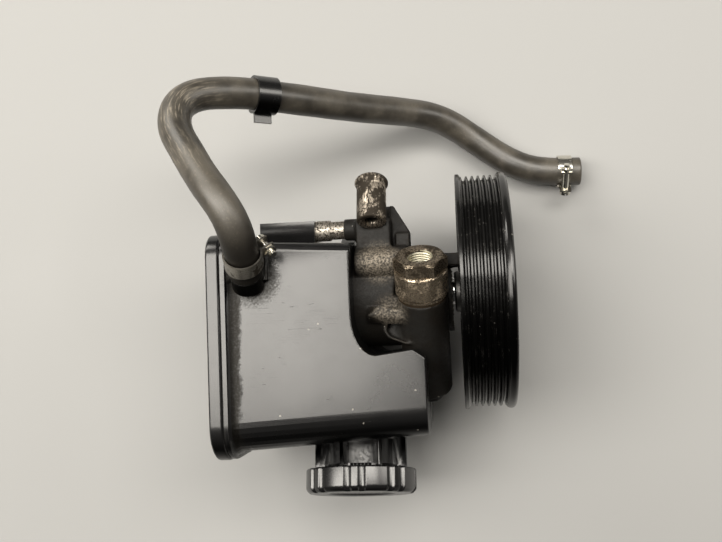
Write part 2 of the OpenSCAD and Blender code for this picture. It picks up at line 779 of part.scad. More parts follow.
module outlet_union() {
  color("#8a7a45") on_valve_axis() difference() {
    union() {
      intersection() {
        translate([0, 0, hex_base]) cylinder(h = union_hex_h, r = union_corner_r, $fn = 6);
        rotate_extrude() polygon([[0, hex_base], [union_corner_r, hex_base],
          [union_corner_r, union_top - 1.6], [union_af / 2 - 0.3, union_top], [0, union_top]]);
      }
      rotate_extrude() polygon([[0, union_seat], [union_r - 1, union_seat],
        [union_r - 1, union_seat + 1.5], [union_r, union_seat + 2.5], [union_r, hex_base - 1],
        [union_r - 0.8, hex_base + 0.5], [0, hex_base + 0.5]]);
      translate([0, 0, shank_end]) cylinder(h = union_shank_len + 1, r = union_shank_r);
    }
    translate([0, 0, outlet_floor]) cylinder(h = outlet_depth + 1, r = outlet_r);
    translate([0, 0, union_top - 1.2]) cylinder(h = 1.3, r1 = outlet_r, r2 = outlet_r + 1.3);
    translate([0, 0, shank_end - 1]) cylinder(h = union_top - shank_end, r = insert_r);
  }
}

// Pressed-in seat for the pipe's cone at the bottom of the outlet
module outlet_seat() {
  eye = outlet_r - 4;
  cone = 2;
  color("#9a8a58") on_valve_axis() difference() {
    translate([0, 0, shank_end]) cylinder(h = outlet_floor - shank_end, r = insert_r - seat_gap);
    translate([0, 0, shank_end - 1]) cylinder(h = union_top, r = eye);
    translate([0, 0, outlet_floor - cone]) cylinder(h = 2 * cone, r1 = eye, r2 = eye + 2 * cone);
  }
}

module outlet_washer() {
  color("#7a5c36") on_valve_axis() translate([0, 0, column_high]) difference() {
    cylinder(h = washer_t, r = union_r - 1.2);
    translate([0, 0, -1]) cylinder(h = washer_t + 2, r = union_shank_r + face_gap);
  }
}

module return_spigot() {
  eye_r = 3.75;
  bead_h = 4;
  bore_floor = 8;
  color("#8c857a") on_spigot_axis() difference() {
    rotate_extrude() polygon([[0, 0], [spigot_r - 0.8, 0], [spigot_r, 0.8],
      [spigot_r, spigot_len - bead_h - 2], [spigot_bead_r, spigot_len - bead_h],
      [spigot_bead_r, spigot_len - 2], [spigot_r, spigot_len], [0, spigot_len]]);
    translate([0, 0, bore_floor]) cylinder(h = spigot_len, r = spigot_bore_r);
    translate([0, 0, -1]) cylinder(h = 6, r = eye_r);
    translate([0, 0, -0.1]) cylinder(h = 1.6, r1 = eye_r + 1.6, r2 = eye_r);
  }
}

// Socket collar, joint flange, pads and neck that stand on the tank's outer skin
collar_r = barrel_r + 5;
module tank_outside() {
  difference() {
    hull() {
      tank_slice(joint_x, 0);
      tank_slice(arm_x - slice_t, 0);
    }
    pump_space(0);
    column_space(0);
  }
  slab(joint_x - tank_flange_t, joint_x, flange_outline(0.6));
  hull() {
    slab(joint_x - slice_t, joint_x, flange_outline(2.5));
    tank_slice(joint_x + 5, 0.4);
  }
  block([joint_x + 1, 8.5, tank_top - 6], [joint_x + 25, tank_near - 4, nipple_pad_z]);
  block([lug_rear_x, tank_near - 8, tank_bolt.z - 8.5],
    [lug_front_x, tank_bolt.y + 5.5, tank_bolt.z + 8.5]);
  sleeve(socket_x - 8, socket_x, collar_r, barrel_r - 1);
  on_neck_axis() {
    translate([0, 0, neck_start]) cylinder(h = cap_rim_z - neck_start, r = neck_r);
    translate([0, 0, cap_rim_z - 2]) cylinder(h = neck_end - cap_rim_z + 2, r = mouth_r);
    for (k = [0 : neck_ribs - 1]) rotate([0, 0, 16 + 360 * k / neck_ribs])
      block([neck_bore_r + 1, -1.1, neck_start], [cap_r - 4, 1.1, cap_rim_z - 0.8]);
  }
  along(nipple_base, nipple_dir) rotate([0, 0, 100]) {
    translate([0, 0, -nipple_foot]) cylinder(h = nipple_len + nipple_foot, r = hose_bore_r - seat_gap);
    translate([0, 0, -nipple_foot]) cylinder(h = nipple_foot - face_gap, r = hose_r - 0.5);
  }
}

// Hollow of the tank, with walls left round the pump space and the valve column
module tank_inside() {
  difference() {
    hull() {
      tank_slice(joint_x - tank_flange_t - 1, tank_wall);
      tank_slice(arm_x - tank_wall, tank_wall);
    }
    pump_space(tank_wall);
    column_space(tank_wall);
    sleeve(socket_x - 8, socket_x, collar_r, barrel_r - 1);
  }
}

module reservoir_body() {
  color("#26262a") difference() {
    tank_outside();
    tank_inside();
    bar(barrel_rear_x - mould_gap, socket_x + bend.x, barrel_r + face_gap);
    sleeve(socket_x - 6, socket_x - 6 + 2 * tank_seal_r + face_gap, barrel_r + 2 * tank_seal_r + face_gap,
      barrel_r - 1);
    on_neck_axis() translate([0, 0, neck_start - 6])
      cylinder(h = neck_end - neck_start + 10, r = neck_bore_r);
    along(nipple_base, nipple_dir) translate([0, 0, -20])
      cylinder(h = nipple_len + 30, r = hose_bore_r - 2);
    boss(lug_rear_x - 1, lug_front_x + 1, tank_bolt, tank_bolt_r + 0.2);
    boss(lug_rear_x - 1, lug_rear_x + 1 + bolt_head_h, tank_bolt, bolt_head_r + 0.3);
  }
}

tank_seal_r = 1.3;
module reservoir_o_ring() {
  color("#161616") wire_ring(socket_x - 6 + tank_seal_r + face_gap / 2,
    barrel_r + face_gap + tank_seal_r, tank_seal_r);
}

module reservoir_rear_cover() {
  panel_inset = 14;
  color("#232327") difference() {
    union() {
      slab(cover_x - cover_t, cover_x - 0.8, flange_outline(0));
      slab(cover_x - 1, cover_x, flange_outline(1.2));
      slab(cover_x - cover_t - 1.5, cover_x - cover_t + 1, flange_outline(panel_inset));
    }
    slab(cover_x - cover_t + cover_wall, cover_x + 1, flange_outline(flange_out + tank_wall));
  }
}

module reservoir_bolt() {
  color("#7d7a72") translate(tank_bolt) {
    bar(lug_rear_x + 1 + bolt_head_h, bolt_boss_x + bolt_bite, tank_bolt_r);
    translate([lug_rear_x + 1, 0, 0]) rotate([0, 90, 0])
      cylinder(h = bolt_head_h, r = bolt_head_r, $fn = 6);
  }
}

module reservoir_bolt_sleeve() {
  step_x = (lug_front_x + bolt_boss_x) / 2;
  color("#9c9687") translate(tank_bolt) difference() {
    union() {
      bar(lug_front_x, step_x, 6.2);
      bar(step_x, bolt_boss_x, 5.4);
    }
    bar(lug_front_x - 1, bolt_boss_x + 1, tank_bolt_r + seat_gap);
  }
}

module filler_cap() {
  dish_r = 20;
  scallop_r = 2.3;
  side = 7.25;
  color("#1a1a1c") on_neck_axis() difference() {
    rotate_extrude() polygon([[0, cap_rim_z], [cap_r - 0.8, cap_rim_z], [cap_r, cap_rim_z + 0.8],
      [cap_r, cap_top_z - 3], [cap_r - 1, cap_top_z - 1],
      [cap_r - 3, cap_top_z], [dish_r + 2, cap_top_z],
      [dish_r, cap_top_z - 1.2], [0, cap_top_z - 1.2]]);
    translate([0, 0, cap_rim_z - 1]) cylinder(h = crown_z - cap_rim_z + 1, r = cap_bore_r);
    for (k = [0 : cap_lobes - 1], s = [-side, side])
      rotate([0, 0, 360 * k / cap_lobes + s]) translate([cap_r + 0.6, 0, cap_rim_z - 1])
        cylinder(h = cap_h + 2, r = scallop_r, $fn = 32);
  }
}

module cap_gasket() {
  color("#141414") on_neck_axis() translate([0, 0, neck_end]) difference() {
    cylinder(h = gasket_t, r = mouth_r - 0.2);
    translate([0, 0, -1]) cylinder(h = gasket_t + 2, r = neck_bore_r + 0.5);
  }
}

module dipstick() {
  blade_w = 8;
  blade_t = 2.4;
  root_r = 6;
  root_h = 8;
  color("#3a3a3a") on_neck_axis() {
    translate([0, 0, crown_z - root_h]) cylinder(h = root_h, r = root_r);
    block([-blade_w / 2, -blade_t / 2, crown_z - dipstick_len], [blade_w / 2, blade_t / 2, crown_z - 4]);
  }
}

module return_hose() {
  color("#3a352f") difference() {
    swept_tube(hose_route, hose_r, hose_sides);
    along(nipple_base, nipple_dir) translate([0, 0, -1])
      cylinder(h = nipple_len + 2, r = hose_bore_r);
    along(hose_route[26], -hose_end_dir) translate([0, 0, -1])
      cylinder(h = 19, r = hose_bore_r);
  }
}

module hose_clip() {
  clip_r = hose_r + 0.25;
  clip_t = 1.6;
  width = 14;
  tab = [11, 6.5, 2];
  place = 0.35 * hose_route[14] + 0.65 * hose_route[15];
  color("#19191a") along(place, unit(hose_route[15] - hose_route[14])) {
    difference() {
      cylinder(h = width, r = clip_r + clip_t, center = true);
      cylinder(h = width + 2, r = clip_r, center = true);
      rotate([0, 0, -45]) translate([0, 0, -width]) cube([20, 20, 2 * width]);
    }
    translate([2, -clip_r - tab.y, -tab.x / 2]) cube([tab.z, tab.y + clip_t / 10, tab.x]);
  }
}

// Bent strip clamp: an open band with two ears for the screw, and its room round the bent hose
clamp_gap = 0.5;
module strip_clamp(gap) {
  r = hose_r + clamp_gap;
  ear_w = band_w - 1.5;
  ear_t = 1.2;
  foot = sqrt(r * r - gap * gap / 4);
  difference() {
    union() {
      difference() {
        cylinder(h = band_w, r = r + band_t, center = true);
        translate([0, -gap / 2, -band_w]) cube([r + 5, gap, 2 * band_w]);
      }
      for (s = [-1, 1])
        translate([foot, s * gap / 2 + (s - 1) / 2 * ear_t, -ear_w / 2])
          cube([clamp_ear_h + r - foot, ear_t, ear_w]);
    }
    cylinder(h = band_w + 2, r = r, center = true);
    translate([r + clamp_ear_h * 0.6, 0, 0]) rotate([90, 0, 0])
      cylinder(h = 4 * gap, r = clamp_screw_r + seat_gap, center = true);
  }
}

module strip_clamp_screw(gap) {
  half = gap / 2 + 1.2;
  tail = 4.5;
  color("#a09a84") translate([hose_r + clamp_gap + clamp_ear_h * 0.6, 0, 0]) rotate([-90, 0, 0]) {
    translate([0, 0, -half - tail]) cylinder(h = 2 * half + tail, r = clamp_screw_r);
    translate([0, 0, half]) difference() {
      cylinder(h = 2.4, r = clamp_screw_r * 1.8);
      translate([-5, -0.4, 1.4]) cube([10, 0.8, 2]);
    }
    translate([0, 0, -half - 2]) difference() {
      cylinder(h = 2, r = clamp_screw_r * 1.9, $fn = 6);
      translate([0, 0, -1]) cylinder(h = 4, r = clamp_screw_r - 0.1);
    }
  }
}

module on_tank_end() {
  reach = 12.5;
  along(nipple_base + reach * nipple_dir, nipple_dir) rotate([0, 0, -40]) children();
}

module on_free_end() {
  along(0.55 * hose_route[25] + 0.45 * hose_route[26], hose_end_dir) rotate([0, 0, 215]) children();
}

module tank_clamp() {
  color("#8f8a78") on_tank_end() strip_clamp(tight_gap);
}

module tank_clamp_screw() {
  on_tank_end() strip_clamp_screw(tight_gap);
}

module end_clamp() {
  color("#8f8a78") on_free_end() strip_clamp(slack_gap);
}

module end_clamp_screw() {
  on_free_end() strip_clamp_screw(slack_gap);
}

pump_housing();
front_bearing_outer_race();
front_bearing_balls();
front_bearing_inner_race();
bearing_circlip();
shaft_seal();
drive_shaft();
pulley_hub();
pulley();
pulley_bolts();
front_side_plate();
cam_ring();
rotor();
vanes();
pressure_plate();
cartridge_dowels();
preload_spring();
end_cap();
end_cap_o_ring();
end_cap_retainer();
rear_bush();
flow_valve_spool();
flow_valve_spring();
outlet_union();
outlet_seat();
outlet_washer();
return_spigot();
reservoir_body();
reservoir_rear_cover();
reservoir_o_ring();
reservoir_bolt();
reservoir_bolt_sleeve();
filler_cap();
cap_gasket();
dipstick();
return_hose();
hose_clip();
tank_clamp();
tank_clamp_screw();
end_clamp();
end_clamp_screw();
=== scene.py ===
"""Looks of a power steering pump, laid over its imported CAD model. Lengths are in metres."""

import json
import math

import bmesh
import bpy
import numpy as np
from bpy.props import FloatProperty, FloatVectorProperty, IntProperty, PointerProperty
from mathutils import Matrix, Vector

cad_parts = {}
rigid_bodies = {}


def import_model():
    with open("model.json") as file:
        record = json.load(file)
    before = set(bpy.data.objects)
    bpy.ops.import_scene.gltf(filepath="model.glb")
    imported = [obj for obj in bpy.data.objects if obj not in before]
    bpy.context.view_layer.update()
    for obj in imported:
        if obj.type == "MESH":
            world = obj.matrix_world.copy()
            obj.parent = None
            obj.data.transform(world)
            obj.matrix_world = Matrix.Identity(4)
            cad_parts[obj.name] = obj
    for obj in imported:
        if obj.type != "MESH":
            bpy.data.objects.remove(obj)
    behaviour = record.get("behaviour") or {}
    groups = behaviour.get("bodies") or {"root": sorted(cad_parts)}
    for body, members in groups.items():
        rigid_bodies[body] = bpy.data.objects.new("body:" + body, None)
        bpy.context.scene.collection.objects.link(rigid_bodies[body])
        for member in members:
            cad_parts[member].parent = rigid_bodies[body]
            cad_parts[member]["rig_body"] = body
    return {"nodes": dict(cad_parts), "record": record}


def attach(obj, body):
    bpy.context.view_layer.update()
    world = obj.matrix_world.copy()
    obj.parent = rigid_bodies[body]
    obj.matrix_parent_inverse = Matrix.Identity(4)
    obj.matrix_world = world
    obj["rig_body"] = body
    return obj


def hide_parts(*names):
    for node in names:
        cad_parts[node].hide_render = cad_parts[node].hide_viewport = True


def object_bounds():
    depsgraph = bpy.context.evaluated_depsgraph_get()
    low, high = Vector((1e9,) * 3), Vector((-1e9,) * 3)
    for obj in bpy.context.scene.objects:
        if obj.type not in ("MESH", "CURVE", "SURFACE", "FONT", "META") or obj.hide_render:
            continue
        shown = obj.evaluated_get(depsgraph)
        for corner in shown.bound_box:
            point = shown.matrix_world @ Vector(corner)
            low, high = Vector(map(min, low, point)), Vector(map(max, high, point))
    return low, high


bl_info = {
    "name": "Power Steering Pump Looks",
    "version": (1, 0, 0),
    "blender": (4, 5, 0),
    "location": "3D View > Sidebar > Pump",
    "description": "Dresses the pump's CAD model with its hose, moulded tank, casting and finishes",
    "category": "Object",
}

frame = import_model()
CAD_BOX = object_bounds()
NODES = frame["nodes"]
MM = 0.001

# Hose centre line, as in the part's source
HOSE_ROUTE = MM * np.array([
    [-132.6, 13, 59.8], [-131.7, 17.5, 66.5], [-131, 22.5, 73.5], [-131, 29, 80.5],
    [-132.3, 38, 86.3], [-137.2, 47.8, 88], [-145, 58.5, 85.5], [-153.5, 70.5, 80],
    [-161.6, 83.5, 74.5], [-167.9, 93.6, 70], [-170, 103.5, 65.5], [-168.5, 112, 60.5],
    [-161.5, 118, 55], [-150.5, 121, 47], [-137, 122.5, 38], [-120, 122.5, 26],
    [-100, 122.5, 10], [-78, 123, -10], [-58, 124, -27], [-40, 124.5, -41], [-24, 122.5, -51],
    [-10, 116, -58], [4, 106, -61.5], [18, 95.5, -62.4], [34, 86.5, -62.4], [52, 82.5, -62.4],
    [72, 81.5, -62.4]])


def leaning(degrees):
    """Direction across the shaft, turned from +Y towards +Z."""
    angle = math.radians(degrees)
    return np.array([0, math.cos(angle), math.sin(angle)])


# Axes of the turned pieces and of the bores: a point on each, and its direction
ALONG_SHAFT = np.array([1.0, 0, 0])
SHAFT_AXIS = (np.zeros(3), ALONG_SHAFT)
NECK_AXIS = (MM * np.array([-79, 0, -24]), leaning(180 - 14))
SPIGOT_AXIS = (MM * np.array([-63.2, 41, 35.5]), leaning(-20))
VALVE_LEAN = 32
VALVE_OFFSET = 28
VALVE_X = -35.7
VALVE_AXIS = (MM * (VALVE_X * ALONG_SHAFT + VALVE_OFFSET * leaning(VALVE_LEAN + 90)), leaning(VALVE_LEAN))
TANK_BOLT_AXIS = (MM * np.array([0, 39, 21]), ALONG_SHAFT)
EAR_AXES = [(46 * MM * leaning(angle), ALONG_SHAFT) for angle in (0, -60, -120)]

# Places that dirt, wear and painted shade keep to. The seam's oil starts and ends softly, each between two
# places on X
NIPPLE_FOOT = (-0.131, 0.010, 0.053)
NIPPLE_END = (-0.1325, 0.018, 0.066)
HOSE_BEND = (-0.172, 0.112, 0.066)
HOSE_BELOW_BEND = (-0.165, 0.082, 0.072)
GALLERY_BOSS = (-0.060, 0.018, 0.037)
CAST_WEDGE = (-0.0545, -0.0115, 0.0355)
CAST_POCKET = (-0.0455, -0.0225, 0.0245)
SEAM_START_X = (-0.1462, -0.1455)
SEAM_END_X = (-0.1425, -0.1375)

# Directions of the painted shade and of the dust
TOWARDS_CAP = (0.0, -1.0, 0.0)
UPWARDS = (0.0, 0.0, 1.0)

# Colours of dirt and marks
SCRATCHED_PLASTIC = (0.004, 0.004, 0.004)
WORN_PLASTIC = (0.10, 0.098, 0.092)
DRY_RUBBER = (0.075, 0.066, 0.052)
BROWN_DUST = (0.22, 0.185, 0.14)
OILY_RUBBER = (0.010, 0.0078, 0.0058)
OILY_CASTING = (0.009, 0.0075, 0.006)
CASTING_SPECKS = (0.36, 0.34, 0.30)
PULLEY_DUST = (0.007, 0.0068, 0.0063)
PULLEY_CHIPS = (0.20, 0.19, 0.175)
PULLEY_SPECKS = (0.30, 0.29, 0.26)

# Lamp panels: a place, and the point that each is turned to
PANELS = {
    "overhead": ((-1.13, 0.19, 1.55), (-1.13, 0.19, 0.0)),
    "back": ((0.62, 0.62, 1.55), (0.62, 0.62, 0.0)),
    "rear": ((-1.15, 1.55, 1.0), (-0.16, 0.09, 0.08)),
    "side": ((1.15, 0.35, 0.75), (0.0, 0.0, 0.0)),
}
FLOOR_HALF = 3.0

# Angles between faces: an edge that gets rounded, and one that stays sharp in the shading
ROUNDED_ANGLE = math.radians(28)
SHARP_ANGLE = math.radians(32)

# Settings


def length_property(**given):
    """Property that holds a length."""
    return FloatProperty(unit="LENGTH", **given)


def angle_property(**given):
    """Property that holds an angle."""
    return FloatProperty(subtype="ANGLE", **given)


def colour_property(**given):
    """Property that holds a colour."""
    return FloatVectorProperty(size=3, min=0, max=1, subtype="COLOR", **given)


def power_property(panel, default):
    """Property that holds a lamp panel's power."""
    return FloatProperty(name=f"{panel} power", description=f"Power of the {panel.lower()} panel, in watts",
                         default=default, min=0)


def sides_property(panel, default):
    """Property that holds a lamp panel's two sides."""
    return FloatVectorProperty(name=f"{panel} size", description=f"Sides of the {panel.lower()} panel",
                               default=default, size=2, unit="LENGTH")


class PumpStageSettings(bpy.types.PropertyGroup):
    """Camera, floor and lamps."""

    camera_place: FloatVectorProperty(name="Camera place", description="Where the camera stands", size=3,
                                      default=(-0.01618, -0.0227, 0.5047), subtype="TRANSLATION",
                                      unit="LENGTH")
    camera_tilt: angle_property(name="Tilt", description="Camera's turn about X", default=math.radians(4.30))
    camera_roll: angle_property(name="Roll", description="Camera's turn about its view line",
                                default=math.radians(-2.31))
    camera_pan: angle_property(name="Pan", description="Camera's turn about Y", default=math.radians(6.60))
    lens: FloatProperty(name="Lens", description="Focal length, in millimetres", default=40.652)
    sensor: FloatProperty(name="Sensor", description="Width of the sensor, in millimetres", default=36.0)
    floor_colour: colour_property(name="Floor", description="Colour of the floor",
                                  default=(0.36, 0.36, 0.355))
    lamp_colour: colour_property(name="Lamps", description="Colour of the lamps", default=(1.0, 0.955, 0.88))
    world_colour: colour_property(name="World", description="Colour of the surroundings",
                                  default=(1.0, 0.96, 0.89))
    world_level: FloatProperty(name="World level", description="Brightness of the surroundings",
                               default=0.07, min=0)
    overhead_power: power_property("Overhead", 50.0)
    overhead_size: sides_property("Overhead", (2.1, 0.90))
    back_power: power_property("Back", 25.0)
    back_size: sides_property("Back", (1.35, 0.60))
    rear_power: power_property("Rear", 15.0)
    rear_size: sides_property("Rear", (1.1, 0.6))
    side_power: power_property("Side", 4.0)
    side_size: sides_property("Side", (0.5, 0.5))


class PumpHoseSettings(bpy.types.PropertyGroup):
    """Return hose."""

    radius: length_property(name="Radius", description="Outer radius of the hose", default=9.4 * MM)
    bore: length_property(name="Bore", description="Radius of the hose bore", default=6.0 * MM)
    tank_depth: length_property(name="Tank end depth", default=24 * MM,
                                description="Depth of the bore over the tank's nipple")
    end_depth: length_property(name="Open end depth", default=18 * MM,
                               description="Depth of the bore that shows at the free end")
    sides: IntProperty(name="Sides", description="Points round the hose", default=56, min=12)
    colour: colour_property(name="Rubber", description="Colour of clean rubber",
                            default=(0.028, 0.0245, 0.0195))
    scuff_colour: colour_property(name="Scuffs", description="Colour of the dry scuffed rubber",
                                  default=(0.30, 0.26, 0.20))


class PumpShellSettings(bpy.types.PropertyGroup):
    """Moulded tank, rear cover and filler cap."""

    edge: length_property(name="Edge radius", description="Rounding of the tank's cut edges",
                          default=0.9 * MM)
    cover_edge: length_property(name="Cover edge radius", description="Rounding of the rear cover's rim",
                                default=1.6 * MM)
    colour: colour_property(name="Plastic", description="Colour of the moulded plastic",
                            default=(0.004, 0.004, 0.0042))
    oil_colour: colour_property(name="Oil film", description="Colour of the oily film",
                                default=(0.006, 0.005, 0.0035))
    dust_colour: colour_property(name="Dust", description="Colour of dust and swarf",
                                 default=(0.34, 0.32, 0.28))
    cap_lobes: IntProperty(name="Cap lobes", description="Number of grip lobes on the cap", default=8, min=4)
    cap_groove: length_property(name="Cap groove", description="Depth of the grip grooves", default=1.7 * MM)


class PumpMetalSettings(bpy.types.PropertyGroup):
    """Casting, pulley and fittings."""

    cast_voxel: length_property(name="Casting cell", description="Cell size of the rounded casting",
                                default=0.85 * MM)
    cast_grain: length_property(name="Casting grain", description="Height of the sand-cast grain",
                                default=0.22 * MM)
    cast_colour: colour_property(name="Casting", description="Colour of the oil-darkened alloy",
                                 default=(0.011, 0.0105, 0.0095))
    dry_colour: colour_property(name="Dry casting", description="Colour of the dry grey alloy",
                                default=(0.26, 0.225, 0.18))
    pulley_colour: colour_property(name="Pulley", description="Colour of the pulley coating",
                                   default=(0.0035, 0.0035, 0.0037))
    zinc_colour: colour_property(name="Yellow zinc", description="Colour of the plated union",
                                 default=(0.80, 0.66, 0.49))
    # Colour of baked oil, also used for the painted shade in the spigot's eye
    grime_and_shade_colour: colour_property(name="Grime", description="Colour of baked oil",
                                  default=(0.013, 0.0095, 0.0062))
    thread_pitch: length_property(name="Thread pitch", description="Pitch of the outlet thread",
                                  default=1.5 * MM)


# Surfaces worked out with numpy


def grid_quads(rows, columns):
    """Quads of a grid of rows by columns points, closed round the columns."""
    row, column = np.meshgrid(np.arange(rows - 1), np.arange(columns), indexing="ij")
    here = row * columns + column
    beside = row * columns + (column + 1) % columns
    return np.stack([here, beside, beside + columns, here + columns], -1).reshape(-1, 4)


def make_piece(name, points, quads, body, uv=None):
    """Makes a smooth mesh object from points and quads, welds its seams and poles, and puts it on a body."""
    mesh = bpy.data.meshes.new(name)
    mesh.vertices.add(len(points))
    mesh.vertices.foreach_set("co", np.ascontiguousarray(points, np.float32).ravel())
    mesh.loops.add(quads.size)
    mesh.loops.foreach_set("vertex_index", np.ascontiguousarray(quads, np.int32).ravel())
    mesh.polygons.add(len(quads))
    mesh.polygons.foreach_set("loop_start", np.arange(0, quads.size, 4, dtype=np.int32))
    mesh.update(calc_edges=True)
    if uv is not None:
        layer = mesh.uv_layers.new(name="surface")
        layer.uv.foreach_set("vector", np.ascontiguousarray(uv, np.float32).ravel())
    shape = bmesh.new()
    shape.from_mesh(mesh)
    bmesh.ops.remove_doubles(shape, verts=shape.verts, dist=1e-7)
    bmesh.ops.recalc_face_normals(shape, faces=shape.faces)
    shape.to_mesh(mesh)
    shape.free()
    return place_piece(name, mesh, body)


def place_piece(name, mesh, body):
    """Links a mesh as a piece that rides on a CAD body."""
    mesh.polygons.foreach_set("use_smooth", np.ones(len(mesh.polygons), bool))
    piece = bpy.data.objects.new(name, mesh)
    bpy.context.scene.collection.objects.link(piece)
    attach(piece, body)
    return piece


def move_points(mesh, rule):
    """Puts a mesh's points where a rule moves them, as one array."""
    points = np.empty(3 * len(mesh.vertices), np.float32)
    mesh.vertices.foreach_get("co", points)
    moved = rule(points.reshape(-1, 3).astype(float))
    mesh.vertices.foreach_set("co", moved.astype(np.float32).ravel())
    mesh.update()


def across(direction):
    """Two unit directions at right angles to a direction and to each other."""
    start = np.array([1.0, 0, 0]) if abs(direction[0]) < 0.9 else np.array([0, 1.0, 0])
    u = np.cross(direction, start)
    u /= np.linalg.norm(u)
    return u, np.cross(direction, u)


def turned(profile, axis, sides, swell=None):
    """Profile of (radius, station) points turned about an axis: place + station * axis + radius * (cos a * u
    + sin a * v). swell adds to the radius at each profile point (rows) and angle (columns)."""
    place, direction = axis
    u, v = across(direction)
    a = np.linspace(0, 2 * np.pi, sides, endpoint=False)
    radius = profile[:, :1] + (0 if swell is None else swell(a))
    ring = np.cos(a)[:, None] * u + np.sin(a)[:, None] * v
    return (place + profile[:, 1, None, None] * direction + radius[..., None] * ring).reshape(-1, 3)


def turned_piece(name, profile, axis, body, sides, swell=None):
    """Piece whose surface is a profile turned about an axis."""
    points = turned(profile, axis, sides, swell)
    return make_piece(name, points, grid_quads(len(profile), sides), body)


def rounded(profile, radius, steps):
    """Profile with each inner corner replaced by a curve that starts and ends a radius away: a quadratic
    Bezier about the corner."""
    points = np.array(profile, float)
    corner = points[1:-1]
    before = points[:-2] - corner
    after = points[2:] - corner
    before_length = np.linalg.norm(before, axis=1)
    after_length = np.linalg.norm(after, axis=1)
    reach = np.minimum(radius, 0.45 * np.minimum(before_length, after_length))[:, None]
    start = corner + before / before_length[:, None] * reach
    end = corner + after / after_length[:, None] * reach
    t = np.linspace(0, 1, steps)[None, :, None]
    curve = (1 - t) ** 2 * start[:, None] + 2 * t * (1 - t) * corner[:, None] + t ** 2 * end[:, None]
    return np.concatenate([points[:1], curve.reshape(-1, points.shape[1]), points[-1:]])


def running_length(path):
    """Length along a path up to each of its points."""
    return np.concatenate([[0], np.cumsum(np.linalg.norm(np.diff(path, axis=0), axis=1))])


def smooth_path(points, count, passes=60):
    """Natural cubic spline through the points by chord length, evened to equal steps and then relaxed:
    each point moves half way to the mean of its neighbours."""
    last = len(points) - 1
    chord = running_length(points)
    step = np.diff(chord)
    system = np.eye(last + 1)
    inner = np.arange(1, last)
    system[inner, inner - 1] = step[:-1]
    system[inner, inner] = 2 * (step[:-1] + step[1:])
    system[inner, inner + 1] = step[1:]
    change = np.zeros((last + 1, 3))
    change[1:-1] = 6 * np.diff(np.diff(points, axis=0) / step[:, None], axis=0)
    bend = np.linalg.solve(system, change)

    def at(where):
        k = np.clip(np.searchsorted(chord, where, side="right") - 1, 0, last - 1)
        done = (where - chord[k])[:, None]
        left = (chord[k + 1] - where)[:, None]
        width = step[k][:, None]
        cubic = (bend[k] * left ** 3 + bend[k + 1] * done ** 3) / (6 * width)
        from_start = (points[k] / width - bend[k] * width / 6) * left
        to_end = (points[k + 1] / width - bend[k + 1] * width / 6) * done
        return cubic + from_start + to_end

    where = np.linspace(0, chord[-1], 8 * count)
    arc = running_length(at(where))
    path = at(np.interp(np.linspace(0, arc[-1], count), arc, where))
    for _ in range(passes):
        path[1:-1] = 0.5 * path[1:-1] + 0.25 * (path[:-2] + path[2:])
    return path


def carried_frames(path):
    """Two side directions at each point of a path, carried along it without twist."""
    tangent = np.gradient(path, axis=0)
    tangent /= np.linalg.norm(tangent, axis=1)[:, None]
    side = np.empty_like(path)
    side[0] = across(tangent[0])[0]
    for i in range(1, len(path)):
        side[i] = side[i - 1] - np.dot(side[i - 1], tangent[i]) * tangent[i]
        side[i] /= np.linalg.norm(side[i])
    return side, np.cross(tangent, side)


def swept(path, stations, radii, sides):
    """Rings of given radius at given lengths along a path: path(s) + r * (cos a * side + sin a * up)."""
    arc = running_length(path)
    side, up = carried_frames(path)

    def at(values):
        return np.stack([np.interp(stations, arc, values[:, c]) for c in range(3)], -1)

    a = np.linspace(0, 2 * np.pi, sides, endpoint=False)
    ring = np.cos(a)[None, :, None] * at(side)[:, None] + np.sin(a)[None, :, None] * at(up)[:, None]
    return (at(path)[:, None] + radii[:, None, None] * ring).reshape(-1, 3)


def grid_uv(stations, sides, girth):
    """Length along and length around a swept grid, in metres, for each corner of its quads."""
    i, k = np.meshgrid(np.arange(len(stations) - 1), np.arange(sides), indexing="ij")
    around = np.stack([k, k + 1, k + 1, k], -1) / sides * girth
    along = np.stack([stations[i], stations[i], stations[i + 1], stations[i + 1]], -1)
    return np.stack([along, around], -1).reshape(-1, 4, 2)


def node_shape(node):
    """A CAD node's mesh, welded, with its flat faces joined."""
    shape = bmesh.new()
    shape.from_mesh(NODES[node].data)
    bmesh.ops.remove_doubles(shape, verts=shape.verts, dist=2e-6)
    bmesh.ops.dissolve_limit(shape, angle_limit=0.004, verts=shape.verts, edges=shape.edges)
    return shape


def eased_copy(name, node, width, pick):
    """Copy of a CAD node with the edges that pick chooses rounded to a width. pick reads the middle and
    the length of each edge that stands out."""
    shape = node_shape(node)
    joined = [e for e in shape.edges if len(e.link_faces) == 2]
    edges = [e for e in joined if e.calc_face_angle_signed(0) > ROUNDED_ANGLE]
    middle = np.array([(e.verts[0].co + e.verts[1].co) / 2 for e in edges])
    length = np.array([e.calc_length() for e in edges])
    chosen = [e for e, keep in zip(edges, pick(middle, length)) if keep]
    bmesh.ops.bevel(shape, geom=chosen, offset=width, offset_type="OFFSET", segments=4, profile=0.5,
                    affect="EDGES", clamp_overlap=False, loop_slide=True)
    bmesh.ops.triangulate(shape, faces=[f for f in shape.faces if len(f.verts) > 4])
    mesh = bpy.data.meshes.new(name)
    shape.to_mesh(mesh)
    shape.free()
    piece = place_piece(name, mesh, NODES[node]["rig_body"])
    mesh.set_sharp_from_angle(angle=SHARP_ANGLE)
    even = piece.modifiers.new("even_shading", "WEIGHTED_NORMAL")
    even.mode = "FACE_AREA"
    even.keep_sharp = True
    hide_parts(node)
    return piece


# Shader nodes


